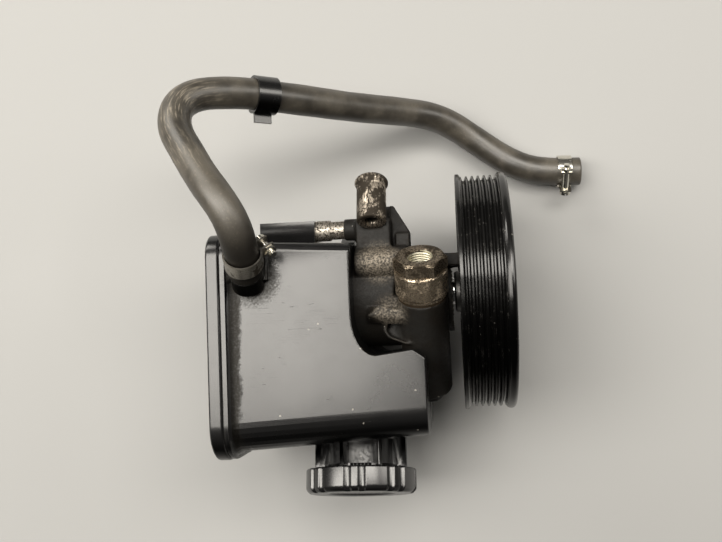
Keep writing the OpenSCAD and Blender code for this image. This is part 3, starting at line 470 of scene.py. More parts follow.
class Nodes:
    """A shader tree and its object coordinates, with a word for each kind of node that is used here."""

    def __init__(self, tree):
        self.tree = tree
        self.place = self.put("ShaderNodeTexCoord").outputs["Object"]

    def put(self, kind, inputs=None, **settings):
        """Adds a node. A value in inputs is set on its socket, and a socket is linked to it."""
        node = self.tree.nodes.new(kind)
        for key, value in settings.items():
            setattr(node, key, value)
        for key, value in (inputs or {}).items():
            if isinstance(value, bpy.types.NodeSocket):
                self.link(value, node.inputs[key])
            else:
                node.inputs[key].default_value = value
        return node

    def link(self, value, socket):
        self.tree.links.new(value, socket)

    def calc(self, operation, a, b=0.0, c=0.0, clamp=False):
        """One step of arithmetic on numbers or sockets."""
        node = self.put("ShaderNodeMath", {0: a, 1: b, 2: c}, operation=operation, use_clamp=clamp)
        return node.outputs[0]

    def times(self, a, b):
        return self.calc("MULTIPLY", a, b)

    def plus(self, a, b, clamp=False):
        return self.calc("ADD", a, b, clamp=clamp)

    def minus(self, a, b):
        return self.calc("SUBTRACT", a, b)

    def larger(self, a, b, clamp=False):
        return self.calc("MAXIMUM", a, b, clamp=clamp)

    def vector(self, operation, a, b, output="Vector"):
        """One step of vector arithmetic."""
        return self.put("ShaderNodeVectorMath", {0: a, 1: b}, operation=operation).outputs[output]

    def blend(self, amount, a, b):
        """Colour that goes from a to b as amount goes from 0 to 1."""
        a, b = [(*colour, 1.0) if isinstance(colour, tuple) else colour for colour in (a, b)]
        inputs = {0: amount, 6: a, 7: b}
        return self.put("ShaderNodeMix", inputs, data_type="RGBA", clamp_factor=True).outputs[2]

    def layered(self, colour, *layers):
        """Colour with layers over it, in order. Each is a mask, the layer's strength and its colour."""
        for mask, strength, over in layers:
            colour = self.blend(self.times(mask, strength), colour, over)
        return colour

    def spread(self, value, low, high, to_low=0.0, to_high=1.0):
        """Value stretched from low..high to to_low..to_high with soft ends."""
        inputs = {"Value": value, 1: low, 2: high, 3: to_low, 4: to_high}
        return self.put("ShaderNodeMapRange", inputs, interpolation_type="SMOOTHSTEP").outputs[0]

    def noise(self, scale, detail=4.0, rough=0.55, over=None):
        """Noise over the object's coordinates, or over other ones."""
        vector = self.place if over is None else over
        inputs = {"Vector": vector, "Scale": scale, "Detail": detail, "Roughness": rough}
        return self.put("ShaderNodeTexNoise", inputs).outputs["Fac"]

    def stretched(self, vector, scale, turn=(0.0, 0.0, 0.0)):
        """Coordinates scaled and turned, so that a pattern on them is drawn out."""
        inputs = {"Vector": vector, "Scale": scale, "Rotation": turn}
        return self.put("ShaderNodeMapping", inputs).outputs[0]

    def facing(self, direction):
        """How far the surface faces a direction: the dot product of its normal with it."""
        normal = self.put("ShaderNodeNewGeometry").outputs["Normal"]
        return self.vector("DOT_PRODUCT", normal, direction, "Value")

    def near(self, point, inner, outer):
        """1 within the inner distance of a point, falling to 0 at the outer one."""
        gap = self.vector("DISTANCE", self.place, point, "Value")
        return self.spread(gap, inner, outer, 1.0, 0.0)

    def group(self, maker, **values):
        """Places one of the shared groups, with its own values, and makes the group first if need be."""
        if maker.__name__ not in GROUPS:
            GROUPS[maker.__name__] = maker()
        return self.put("ShaderNodeGroup", values, node_tree=GROUPS[maker.__name__]).outputs


# Shared groups
GROUPS = {}


def new_group(name, inputs, outputs):
    """Empty shader group with inputs (name and default) and number outputs: its nodes and its two ends."""
    tree = bpy.data.node_groups.new(name, "ShaderNodeTree")
    for key, value in inputs.items():
        kind = "NodeSocketFloat" if isinstance(value, float) else "NodeSocketVector"
        tree.interface.new_socket(key, in_out="INPUT", socket_type=kind).default_value = value
    for key in outputs:
        tree.interface.new_socket(key, in_out="OUTPUT", socket_type="NodeSocketFloat")
    entry = tree.nodes.new("NodeGroupInput").outputs
    leave = tree.nodes.new("NodeGroupOutput").inputs
    return Nodes(tree), entry, leave


def grime_group():
    """Patchy baked oil: a broad noise that sets where it lies, broken up by a fine one."""
    n, entry, leave = new_group("Baked oil", {"Scale": 60.0, "Amount": 0.5}, ["Mask", "Fine"])
    softness = 0.16
    broad = n.noise(entry["Scale"], 5.0, 0.6)
    fine = n.noise(n.times(entry["Scale"], 9.0), 6.0, 0.7)
    total = n.plus(broad, n.times(fine, 0.35))
    edge = n.minus(1.02, entry["Amount"])
    mask = n.spread(total, n.minus(edge, softness), n.plus(edge, softness))
    n.link(mask, leave["Mask"])
    n.link(fine, leave["Fine"])
    return n.tree


def speck_group():
    """Dust and swarf: small cells of a Voronoi pattern bent by a noise, with only some of them kept."""
    n, entry, leave = new_group("Specks", {"Scale": 300.0, "Size": 0.12, "Share": 0.3}, ["Mask"])
    bend = (0.0012, 0.0012, 0.0012)
    warp = n.put("ShaderNodeTexNoise", {"Vector": n.place, "Scale": 900.0, "Detail": 2.0}).outputs["Color"]
    bent = n.vector("ADD", n.place, n.vector("MULTIPLY", warp, bend))
    cell = n.put("ShaderNodeTexVoronoi", {"Vector": bent, "Scale": entry["Scale"]}).outputs
    near = n.calc("LESS_THAN", cell["Distance"], entry["Size"])
    pick = n.put("ShaderNodeSeparateColor", {0: cell["Color"]}).outputs[0]
    kept = n.calc("LESS_THAN", pick, entry["Share"])
    n.link(n.times(near, kept), leave["Mask"])
    return n.tree


def scratch_group():
    """Fine scratches: thin level lines of a noise stretched along one direction, broken into patches."""
    inputs = {"Stretch": (6.0, 400.0, 400.0), "Width": 0.012, "Share": 0.5}
    n, entry, leave = new_group("Scratches", inputs, ["Mask"])
    drawn_out = n.stretched(n.place, entry["Stretch"], turn=(0.0, 0.0, 0.05))
    wave = n.noise(1.0, 1.0, 0.4, over=drawn_out)
    off = n.calc("ABSOLUTE", n.minus(wave, 0.5))
    line = n.calc("LESS_THAN", off, entry["Width"])
    shown = n.calc("GREATER_THAN", n.noise(70.0, 3.0), n.minus(1.0, entry["Share"]))
    n.link(n.times(line, shown), leave["Mask"])
    return n.tree


def wear_group():
    """Worn edges: where the normal of a rounded edge leaves the true normal, broken up by noise."""
    n, entry, leave = new_group("Edge wear", {"Radius": 0.0012, "Amount": 0.5}, ["Mask"])
    soft = n.put("ShaderNodeBevel", {"Radius": entry["Radius"]}, samples=4).outputs[0]
    bent = n.minus(1.0, n.facing(soft))
    lift = n.times(n.noise(700.0, 4.0, 0.7), 0.12)
    mark = n.spread(n.plus(bent, lift), 0.10, 0.20)
    n.link(n.times(mark, entry["Amount"]), leave["Mask"])
    return n.tree


# Materials. Painted shade on the sides that face -Y, and thick dark oil, are given as a dark metal, which
# reflects little of the lamps


def new_material(name, **constants):
    """Material whose Principled shader has these constants: the material, its nodes and the shader."""
    material = bpy.data.materials.new(name)
    material.use_nodes = True
    shader = material.node_tree.nodes["Principled BSDF"]
    for key, value in constants.items():
        shader.inputs[key.replace("_", " ")].default_value = value
    return material, Nodes(material.node_tree), shader


def finish_with(n, shader, colour, rough, metal=None, height=None, strength=0.0, distance=0.0):
    """Links the worked-out colour, roughness, metal and height to the shader."""
    for key, value in (("Base Color", colour), ("Roughness", rough), ("Metallic", metal)):
        if value is not None:
            n.link(value, shader.inputs[key])
    if height is not None:
        bump = n.put("ShaderNodeBump", {"Height": height, "Strength": strength, "Distance": distance})
        n.link(bump.outputs[0], shader.inputs["Normal"])


def oily_smudge(n):
    """Oil along the rear cover's seam and round the hose nipple's foot, broken up by a fine noise."""
    x = n.put("ShaderNodeSeparateXYZ", {0: n.place}).outputs["X"]
    uneven = n.times(n.minus(n.noise(55.0, 5.0, 0.6), 0.5), 0.012)
    far_side = n.spread(n.plus(x, uneven), *SEAM_END_X, 1.0, 0.0)
    seam = n.times(far_side, n.spread(x, *SEAM_START_X))
    drip = n.near(NIPPLE_FOOT, inner=0.009, outer=0.023)
    close = n.larger(seam, n.times(drip, 0.8))
    broken = n.calc("MULTIPLY_ADD", n.noise(900.0, 4.0, 0.65), 1.8, -0.9)
    return n.times(n.spread(n.plus(close, broken), 0.10, 1.1), n.spread(close, 0.0, 0.6))


def shell_material(name, settings, rough=0.25, grease=0.0, gloss=0.76):
    """Satin black moulding with an oily film, light scratches, dust and swarf, painted shade as a dark metal
    on the sides that face the cap's way (-Y), and spots of grease if any are asked for."""
    material, n, shader = new_material(name, Specular_IOR_Level=gloss)
    oil = n.group(grime_group, Scale=30.0, Amount=0.26)["Mask"]
    specks = n.group(speck_group, Scale=170.0, Size=0.10, Share=0.10)["Mask"]
    lines = n.group(scratch_group, Stretch=(4.0, 520.0, 520.0), Width=0.005, Share=0.43)["Mask"]
    wear = n.group(wear_group, Radius=0.0010, Amount=0.5)["Mask"]
    smudge = oily_smudge(n)
    film = n.larger(n.times(oil, 0.10), smudge, clamp=True)
    colour = n.blend(film, settings.colour[:], settings.oil_colour[:])
    colour = n.layered(colour, (lines, 0.5, SCRATCHED_PLASTIC), (wear, 0.30, WORN_PLASTIC),
                       (specks, 0.7, settings.dust_colour[:]))
    roughness = n.spread(n.noise(35.0, 6.0, 0.65), 0.3, 0.7, rough - 0.015, rough + 0.02)
    roughness = n.plus(roughness, n.times(film, 0.16))
    roughness = n.plus(roughness, n.times(n.larger(lines, specks), 0.12), clamp=True)
    spots = n.times(n.spread(n.noise(520.0, 5.0, 0.7), 0.50, 0.58), grease)
    roughness = n.plus(roughness, n.times(spots, 0.5), clamp=True)
    height = n.plus(n.times(n.noise(2600.0, 2.0), 0.25), specks)
    # Painted shade: surfaces that face -Y, the cap's way, become a dark metal that reflects little; the
    # seam's oil smudge joins it as real oil
    shade_towards_cap = n.spread(n.facing(TOWARDS_CAP), 0.25, 0.7, 0.0, 0.9)
    dark_metal = n.larger(shade_towards_cap, n.times(smudge, 0.8))
    finish_with(n, shader, colour, roughness, dark_metal, height, strength=0.05, distance=0.0003)
    return material


def rubber_material(name, settings):
    """Old hose rubber: dark, with dry tan scuffs on the outer bend, brown dust on its upper side and dark
    oil at the tank's nipple."""
    material, n, shader = new_material(name, Specular_IOR_Level=0.80)
    uv = n.put("ShaderNodeUVMap", uv_map="surface").outputs[0]
    streak = n.noise(1.0, 5.0, 0.65, over=n.stretched(uv, (90.0, 900.0, 1.0)))
    patch = n.noise(38.0, 4.0, 0.6)
    bend = n.near(HOSE_BEND, inner=0.012, outer=0.055)
    below = n.near(HOSE_BELOW_BEND, inner=0.006, outer=0.036)
    wet = n.near(NIPPLE_END, inner=0.015, outer=0.045)
    where = n.plus(n.times(patch, 0.75), n.times(n.larger(bend, below), 0.30))
    scuffs = n.times(n.spread(where, 0.44, 0.80), n.spread(streak, 0.50, 0.66))
    top = n.spread(n.facing(UPWARDS), 0.25, 0.95)
    dust = n.times(n.spread(n.noise(800.0, 3.0, 0.6), 0.54, 0.68), top)
    dust = n.times(dust, n.spread(patch, 0.36, 0.62))
    colour = n.blend(n.spread(patch, 0.35, 0.65), settings.colour[:], DRY_RUBBER)
    colour = n.layered(colour, (scuffs, 0.75, settings.scuff_colour[:]), (dust, 0.22, BROWN_DUST),
                       (wet, 0.85, OILY_RUBBER))
    roughness = n.plus(n.spread(patch, 0.3, 0.7, 0.34, 0.46), n.times(wet, 0.14))
    roughness = n.plus(roughness, n.times(scuffs, 0.20), clamp=True)
    height = n.plus(n.times(n.noise(900.0, 4.0, 0.7), 0.5), n.times(streak, 0.5))
    dark_metal = n.times(wet, 0.68)
    finish_with(n, shader, colour, roughness, dark_metal, height, strength=0.16, distance=0.0004)
    return material


def casting_material(name, settings):
    """Sand-cast alloy black with oil, dry grey-brown on its raised bosses, with a speckle of baked dirt;
    painted shade keeps the flank's pocket black and matt.
    """
    material, n, shader = new_material(name, Specular_IOR_Level=0.20)
    oil = n.group(grime_group, Scale=70.0, Amount=0.36)
    wear = n.group(wear_group, Radius=0.0014, Amount=0.8)["Mask"]
    specks = n.group(speck_group, Scale=240.0, Size=0.13, Share=0.10)["Mask"]
    boss = n.near(GALLERY_BOSS, inner=0.006, outer=0.017)
    wedge = n.near(CAST_WEDGE, inner=0.004, outer=0.0135)
    shaded_pocket = n.near(CAST_POCKET, inner=0.0055, outer=0.0085)
    dry = n.larger(boss, n.times(wedge, 0.6))
    # Painted shade: the flank's pocket is kept free of the dry grey
    dry = n.times(dry, n.minus(1.0, shaded_pocket))
    speckle = n.spread(n.noise(900.0, 5.0, 0.65), 0.40, 0.64, 0.12, 1.0)
    shown = n.larger(n.times(dry, speckle), n.times(wear, 0.30), clamp=True)
    colour = n.blend(oil["Mask"], settings.cast_colour[:], OILY_CASTING)
    colour = n.layered(colour, (shown, 1.0, settings.dry_colour[:]), (specks, 0.5, CASTING_SPECKS))
    metal = n.times(shown, 0.6)
    matt = n.calc("MULTIPLY_ADD", shaded_pocket, 0.30, 0.30)
    roughness = n.plus(n.times(oil["Fine"], 0.45), matt, clamp=True)
    grain = n.noise(620.0, 5.0, 0.7)
    finish_with(n, shader, colour, roughness, metal, grain, strength=0.35, distance=0.0006)
    return material


def plated_material(name, settings, colour, amount, scale, rough=0.34, speckled=0.8, dark=None, bump=0.18,
                    drawn=(1.0, 1.0, 1.0)):
    """Plated or bare metal with brown baked oil in patches and speckles, and with bright worn edges. amount
    and scale are the patches', drawn stretches the speckles, and dark (point, inner, outer and strength, by
    name) is a place that is darkened towards the grime colour."""
    material, n, shader = new_material(name, Specular_IOR_Level=0.08)
    grime_and_shade = settings.grime_and_shade_colour[:]
    oil = n.group(grime_group, Scale=scale, Amount=amount)
    clean = n.minus(1.0, n.group(wear_group, Radius=0.0007, Amount=0.9)["Mask"])
    speckle = n.spread(n.noise(1050.0, 4.0, 0.65, over=n.stretched(n.place, drawn)), 0.46, 0.56)
    speckle = n.times(speckle, n.times(clean, speckled))
    dirt = n.spread(n.larger(n.times(oil["Mask"], clean), speckle), 0.22, 0.74)
    tone = n.blend(oil["Fine"], tuple(0.75 * c for c in colour), colour)
    if dark:
        # A given place darkened towards the grime colour; in the spigot's eye this is painted shade
        darkened_place = n.times(n.near(dark["point"], dark["inner"], dark["outer"]), clean)
        tone = n.layered(tone, (darkened_place, dark["strength"], grime_and_shade))
    tone = n.layered(tone, (dirt, 0.96, grime_and_shade))
    metal = n.minus(1.0, n.times(dirt, 0.9))
    roughness = n.plus(rough, n.times(dirt, 0.22), clamp=True)
    height = n.plus(n.times(dirt, 0.7), oil["Fine"])
    finish_with(n, shader, tone, roughness, metal, height, strength=bump, distance=0.0003)
    return material


def pulley_material(name, settings):
    """Gloss black coating with dust and chips at the edges, and painted shade as a dark metal on the side
    that faces the cap's way (-Y).
    """
    material, n, shader = new_material(name, Specular_IOR_Level=0.55)
    wear = n.group(wear_group, Radius=0.0006, Amount=0.7)["Mask"]
    specks = n.group(speck_group, Scale=260.0, Size=0.10, Share=0.10)["Mask"]
    dust = n.noise(55.0, 5.0, 0.6)
    chips = n.times(wear, n.spread(n.noise(160.0, 5.0, 0.7), 0.55, 0.68))
    colour = n.blend(dust, settings.pulley_colour[:], PULLEY_DUST)
    colour = n.layered(colour, (chips, 1.0, PULLEY_CHIPS), (specks, 0.6, PULLEY_SPECKS))
    roughness = n.spread(dust, 0.3, 0.7, 0.13, 0.24)
    # Painted shade: the side that faces -Y becomes a dark metal that reflects little
    dark_metal = n.spread(n.facing(TOWARDS_CAP), -0.15, 0.35, 0.0, 0.9)
    finish_with(n, shader, colour, roughness, dark_metal, dust, strength=0.03, distance=0.0004)
    return material


def plain_rubber_material(name):
    """Smooth black seal rubber with a faint bloom."""
    material, n, shader = new_material(name)
    bloom = n.noise(180.0)
    colour = n.blend(bloom, (0.010, 0.010, 0.010), (0.028, 0.027, 0.026))
    finish_with(n, shader, colour, n.spread(bloom, 0.3, 0.7, 0.45, 0.62))
    return material


def ground_material(name, colour, rough):
    """Ground or lapped steel: fine rings round the shaft and a thin oil film."""
    material, n, shader = new_material(name, Metallic=1.0)
    line = n.noise(1.0, 2.0, over=n.stretched(n.place, (2400.0, 60.0, 60.0)))
    tone = n.blend(n.noise(90.0), tuple(0.7 * c for c in colour), colour)
    roughness = n.spread(line, 0.3, 0.7, rough - 0.06, rough + 0.10)
    finish_with(n, shader, tone, roughness, height=line, strength=0.05, distance=0.0002)
    return material


def floor_material(name, colour):
    """Matt floor paint with a faint broad unevenness."""
    material, n, shader = new_material(name, Specular_IOR_Level=0.3)
    shade = n.noise(3.0, 3.0)
    tone = n.blend(shade, tuple(0.96 * c for c in colour), colour)
    finish_with(n, shader, tone, n.spread(shade, 0.2, 0.8, 0.55, 0.65))
    return material


def dress(piece, material):
    """Gives a piece or CAD node one material."""
    piece.data.materials.clear()
    piece.data.materials.append(material)


# Operators


class PUMP_OT_stage(bpy.types.Operator):
    """Pale floor, four lamp panels and the camera at the photograph's angle"""

    bl_idname = "pump.stage"
    bl_label = "Stage"

    def execute(self, context):
        s = context.scene.pump_stage
        self.camera(context, s)
        self.floor(context, s)
        for name, (place, target) in PANELS.items():
            size, power = getattr(s, name + "_size"), getattr(s, name + "_power")
            self.lamp(context, name + "_panel", place, target, size[:], power, s.lamp_colour)
        world = bpy.data.worlds.new("surroundings")
        world.use_nodes = True
        background = world.node_tree.nodes["Background"]
        background.inputs["Color"].default_value = (*s.world_colour, 1.0)
        background.inputs["Strength"].default_value = s.world_level
        context.scene.world = world
        context.scene.view_settings.view_transform = "Standard"
        return {"FINISHED"}

    def camera(self, context, s):
        """Camera that is panned, then tilted, then rolled."""
        camera = bpy.data.objects.new("camera", bpy.data.cameras.new("camera"))
        camera.data.lens = s.lens
        camera.data.sensor_width = s.sensor
        camera.data.sensor_fit = "HORIZONTAL"
        camera.data.clip_start = 0.01
        camera.data.clip_end = 20.0
        pan = Matrix.Rotation(s.camera_pan, 4, "Y")
        tilt = Matrix.Rotation(s.camera_tilt, 4, "X")
        roll = Matrix.Rotation(s.camera_roll, 4, "Z")
        camera.matrix_world = Matrix.Translation(s.camera_place) @ pan @ tilt @ roll
        context.scene.collection.objects.link(camera)
        context.scene.camera = camera

    def floor(self, context, s):
        """Square floor at the lowest point of the CAD box."""
        low = CAD_BOX[0].z
        signs = [(-1, -1), (1, -1), (1, 1), (-1, 1)]
        corners = [(x * FLOOR_HALF, y * FLOOR_HALF, low) for x, y in signs]
        mesh = bpy.data.meshes.new("floor")
        mesh.from_pydata(corners, [], [(0, 1, 2, 3)])
        floor = bpy.data.objects.new("floor", mesh)
        context.scene.collection.objects.link(floor)
        dress(floor, floor_material("floor_paint", s.floor_colour[:]))

    def lamp(self, context, name, place, target, size, power, colour):
        """Oblong area lamp at a place, turned to a target, its first side along X."""
        data = bpy.data.lights.new(name, "AREA")
        data.shape = "RECTANGLE"
        data.size, data.size_y = size
        data.energy = power
        data.color = colour
        lamp = bpy.data.objects.new(name, data)
        away = np.array(place) - np.array(target)
        away /= np.linalg.norm(away)
        v, u = across(away)
        turn = Matrix(np.column_stack([-u, v, away]).tolist()).to_4x4()
        lamp.matrix_world = Matrix.Translation(place) @ turn
        context.scene.collection.objects.link(lamp)


class PUMP_OT_return_hose(bpy.types.Operator):
    """Moulded rubber return hose from the tank nipple to its open end on the floor"""

    bl_idname = "pump.return_hose"
    bl_label = "Return hose"

    def execute(self, context):
        s = context.scene.pump_hose
        path = smooth_path(HOSE_ROUTE, count=420)
        length = running_length(path)[-1]
        stations, radii = self.profile(s, length)
        points = swept(path, stations, radii, s.sides)
        uv = grid_uv(stations, s.sides, 2 * math.pi * s.radius)
        quads = grid_quads(len(stations), s.sides)
        hose = make_piece("return_hose_rubber", points, quads, "casing", uv)
        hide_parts("return_hose")
        dress(hose, rubber_material("hose_rubber", s))
        return {"FINISHED"}

    def profile(self, s, length):
        """Stations and radii from the bore at the tank's end, over its lip, along the outside and back into
        the bore at the free end. The outside narrows under the tank clamp, swells past it and is a little
        uneven all along."""
        rings, lip_length = 400, 0.8 * MM
        outer = np.linspace(lip_length, length - lip_length, rings)
        along = outer / MM

        def bulge(height, middle, width):
            """Bell curve along the hose: height * exp(-((along - middle) / width) squared)."""
            return height * np.exp(-((along - middle) / width) ** 2)

        swell = bulge(height=0.35, middle=27, width=9)
        waist = bulge(height=0.12, middle=12.5, width=5)
        uneven = 0.10 * np.sin(0.19 * along) * np.sin(0.071 * along)
        tank_end = [s.tank_depth, s.tank_depth, 0.6 * MM, 0, 0, 0.3 * MM]
        free_end = length - np.array([0.3 * MM, 0, 0, 0.6 * MM, s.end_depth, s.end_depth])
        lip, face = s.radius - 0.25 * MM, s.radius - 0.8 * MM
        tank_radii = [0, s.bore, s.bore, s.bore + 0.4 * MM, face, lip]
        free_radii = [lip, face, s.bore + 0.5 * MM, s.bore, s.bore, 0]
        stations = np.concatenate([tank_end, outer, free_end])
        radii = np.concatenate([tank_radii, s.radius + MM * (swell - waist + uneven), free_radii])
        return stations, radii


class PUMP_OT_reservoir(bpy.types.Operator):
    """Tank moulding and its rear cover with rounded edges, and the skin of the filler neck"""

    bl_idname = "pump.reservoir"
    bl_label = "Reservoir"

    def execute(self, context):
        s = context.scene.pump_shell
        tank = eased_copy("tank_moulding", "reservoir_body", s.edge, self.tank_edges)
        cover = eased_copy("rear_cover_moulding", "reservoir_rear_cover", s.cover_edge, self.cover_edges)
        plastic = shell_material("tank_plastic", s)
        dress(tank, plastic)
        dress(cover, plastic)
        outline = [(20.6, 80), (21.06, 80.5), (21.06, 108.6), (21.7, 109.3)]
        wall = MM * rounded(outline, radius=0.5, steps=5)
        body = NODES["reservoir_body"]["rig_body"]
        sleeve = turned_piece("neck_skin", wall, NECK_AXIS, body, sides=160)
        dress(sleeve, shell_material("greasy_neck", s, rough=0.32, grease=0.5))
        return {"FINISHED"}

    def tank_edges(self, middle, length):
        """Edges of the tank's camera side and cap side, without short ones and those of the pump space and
        the neck's end."""
        shortest, rear, front = 1.2 * MM, -140 * MM, -30 * MM
        camera_side, shade_towards_cap, neck_end = 38 * MM, -30 * MM, -92 * MM
        pump_rear, pump_side = -76 * MM, -28 * MM
        x, y, z = middle.T
        outside = (x > rear) & (x < front) & ((z > camera_side) | (y < shade_towards_cap)) & (length > shortest)
        pump_space = (x > pump_rear) & (y > pump_side) & (z < camera_side)
        return outside & ~pump_space & (y >= neck_end)

    def cover_edges(self, middle, length):
        """Edges of the rear cover's outer face."""
        outer_face = -149.6 * MM
        return middle[:, 0] < outer_face


class PUMP_OT_casting(bpy.types.Operator):
    """Pump casting with cast fillets and sand grain, and its bores left true"""

    bl_idname = "pump.casting"
    bl_label = "Casting"

    def execute(self, context):
        s = context.scene.pump_metal
        shape = node_shape("pump_housing")
        bmesh.ops.triangulate(shape, faces=shape.faces)
        mesh = bpy.data.meshes.new("casting_source")
        shape.to_mesh(mesh)
        shape.free()
        move_points(mesh, self.slanted_pad)
        source = bpy.data.objects.new("casting_source", mesh)
        context.scene.collection.objects.link(source)
        remesh = source.modifiers.new("cells", "REMESH")
        remesh.mode = "VOXEL"
        remesh.voxel_size = s.cast_voxel
        smooth = source.modifiers.new("fillets", "SMOOTH")
        smooth.factor = 0.5
        smooth.iterations = 4
        grain = bpy.data.textures.new("sand", "CLOUDS")
        grain.noise_scale = 0.0035
        grain.noise_depth = 3
        lift = source.modifiers.new("grain", "DISPLACE")
        lift.texture = grain
        lift.texture_coords = "LOCAL"
        lift.strength = s.cast_grain
        lift.mid_level = 0.5
        made = bpy.data.meshes.new_from_object(source.evaluated_get(context.evaluated_depsgraph_get()))
        made.name = "pump_casting"
        bpy.data.objects.remove(source)
        move_points(made, self.true_bores)
        casting = place_piece("pump_casting", made, "casing")
        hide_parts("pump_housing")
        dress(casting, casting_material("cast_alloy", s))
        return {"FINISHED"}

    def slanted_pad(self, points):
        """Moves the corners of the square pad beside the valve column to those of a slanted wedge: the
        nearest point to each goes there."""
        square = MM * np.array([(-69, -19.8, 34.69), (-69, -11.07, 36.87), (-44.69, -18.13, 35.11),
                                (-43.97, -19.8, 34.69), (-45, -19.6, 33.89)])
        wedge = MM * np.array([(-67.8, -13.4, 35.2), (-61.4, -7.4, 35.8), (-45.3, -16.5, 35.5),
                               (-45.2, -16.7, 35.45), (-45.9, -17.6, 34)])
        nearest = np.linalg.norm(points[None] - square[:, None], axis=2).argmin(axis=1)
        points[nearest] = wedge
        return points

    def true_bores(self, points):
        """Moves points that lie near a bore's wall on to it: the point keeps its place along the axis and
        takes the bore's radius. Each bore has an axis, a start, an end and a radius, in millimetres."""
        clearance, reach = 0.02, 0.9
        bores = [
            (SHAFT_AXIS, -32.8, -18, 17.52),
            (SHAFT_AXIS, -41, -32.8, 14),
            (SHAFT_AXIS, -58, -41, 8.55),
            (SHAFT_AXIS, -103, -58, 26.5),
            (VALVE_AXIS, -44, 6.4, 8.05),
            (VALVE_AXIS, 6.4, 15, 10.05),
            (SPIGOT_AXIS, -0.1, 30, 8.8),
            (TANK_BOLT_AXIS, -82, -69, 3.02),
        ]
        bores += [(axis, -66.5, -51.5, 4.25) for axis in EAR_AXES]
        for (place, direction), start, end, radius in bores:
            wall = (radius + clearance) * MM
            along = (points - place) @ direction
            out = points - place - along[:, None] * direction
            distance = np.linalg.norm(out, axis=1)
            near = (along > start * MM) & (along < end * MM) & (abs(distance - wall) < reach * MM)
            points[near] += out[near] * (wall / distance[near] - 1)[:, None]
        return points


class PUMP_OT_filler_cap(bpy.types.Operator):
    """Filler cap with rounded grip lobes"""

    bl_idname = "pump.filler_cap"
    bl_label = "Filler cap"

    def execute(self, context):
        s = context.scene.pump_shell
        outline = [(0, 122.8), (19.2, 122.8), (21.0, 124), (31.2, 124), (33.5, 121.6), (33.5, 110.2),
                   (32.9, 109.5), (26.2, 109.5), (25.0, 110.4), (25.0, 120.1), (0, 120.1)]
        profile = MM * rounded(outline, radius=1.3, steps=5)
        groove_start, groove_full = 29.5, 32.0
        side = np.clip((profile[:, 0] / MM - groove_start) / (groove_full - groove_start), 0, 1)[:, None]
        lobe = 2 * math.pi / s.cap_lobes
        groove_middle = math.radians(7.25)
        groove_half = math.radians(3.9)

        def grip(a):
            """Two grooves beside each rib: -depth * (1 - (angle / half width) squared) to the power 0.7."""
            turn = (a + lobe / 2) % lobe - lobe / 2
            off = np.abs(np.abs(turn) - groove_middle) / groove_half
            return -s.cap_groove * np.clip(1 - off ** 2, 0, 1) ** 0.7 * side

        cap = turned_piece("cap_moulding", profile, NECK_AXIS, "cap", sides=720, swell=grip)
        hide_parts("filler_cap")
        plastic = shell_material("cap_plastic", s, gloss=1.0)
        for piece in (cap, NODES["dipstick"], NODES["hose_clip"]):
            dress(piece, plastic)
        return {"FINISHED"}


class PUMP_OT_return_spigot(bpy.types.Operator):
    """Turned return spigot with a rolled bead"""

    bl_idname = "pump.return_spigot"
    bl_label = "Return spigot"

    def execute(self, context):
        s = context.scene.pump_metal
        outline = [(0, 5), (3.75, 5), (3.75, 1.4), (5.3, 0.05), (8.2, 0), (8.75, 0.8), (8.75, 22.4),
                   (8.9, 23.2), (10, 25.0), (10, 26.8), (9.0, 28.2), (8.2, 29), (6.9, 29), (6.5, 28.4),
                   (6.5, 8), (0, 8)]
        profile = MM * rounded(outline, radius=0.7, steps=4)
        spigot = turned_piece("spigot_tube", profile, SPIGOT_AXIS, "casing", sides=96)
        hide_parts("return_spigot")
        place, direction = SPIGOT_AXIS
        # Painted shade: the eye's bore is darkened almost to black
        recess = {"point": tuple(place + 5.2 * MM * direction), "inner": 0.0040, "outer": 0.0050,
                  "strength": 0.97}
        dress(spigot, plated_material("stained_alloy", s, (0.52, 0.455, 0.375), amount=0.37, scale=90.0,
                                      dark=recess, drawn=(1.0, 0.15, 0.5)))
        return {"FINISHED"}


class PUMP_OT_outlet_union(bpy.types.Operator):
    """Outlet union: a turned body under a chamfered hexagon"""

    bl_idname = "pump.outlet_union"
    bl_label = "Outlet union"

    def execute(self, context):
        s = context.scene.pump_metal
        outline = [(6.62, 6.5), (10, 6.5), (10, 15.5), (14.3, 15.5), (14.3, 17), (15.3, 18), (15.3, 31.2),
                   (14.5, 32.2), (14.5, 32.5), (15.6, 32.7), (15.6, 33.4), (15.6, 38.9), (13.2, 40.5),
                   (8.5, 40.5), (7.2, 39.3), (7.2, 23.5), (6.62, 23.5), (6.62, 6.5)]
        profile = MM * rounded(outline, radius=0.35, steps=4)
        hexagon_start, hexagon_inside, flat_distance = 32.4 * MM, 12 * MM, 13.5 * MM
        hexed = (profile[:, 1:] > hexagon_start) & (profile[:, :1] > hexagon_inside)
        half_flat = math.radians(30)

        def flats(a):
            """Keeps the hexagon inside its flats: distance / cos(angle from the middle of the flat)."""
            flat = flat_distance / np.cos((a + half_flat) % (2 * half_flat) - half_flat)
            return np.where(hexed, np.minimum(flat - profile[:, :1], 0), 0)

        union = turned_piece("union_body", profile, VALVE_AXIS, "casing", sides=360,
                             swell=flats)
        union.data.set_sharp_from_angle(angle=math.radians(25))
        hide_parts("outlet_union")
        place, direction = VALVE_AXIS
        hexagon = {"point": tuple(place + 36.5 * MM * direction), "inner": 0.0145, "outer": 0.0165,
                   "strength": 0.62}
        dress(union, plated_material("union_zinc", s, s.zinc_colour[:], amount=0.25, scale=75.0, rough=0.30,
                                     dark=hexagon))
        return {"FINISHED"}


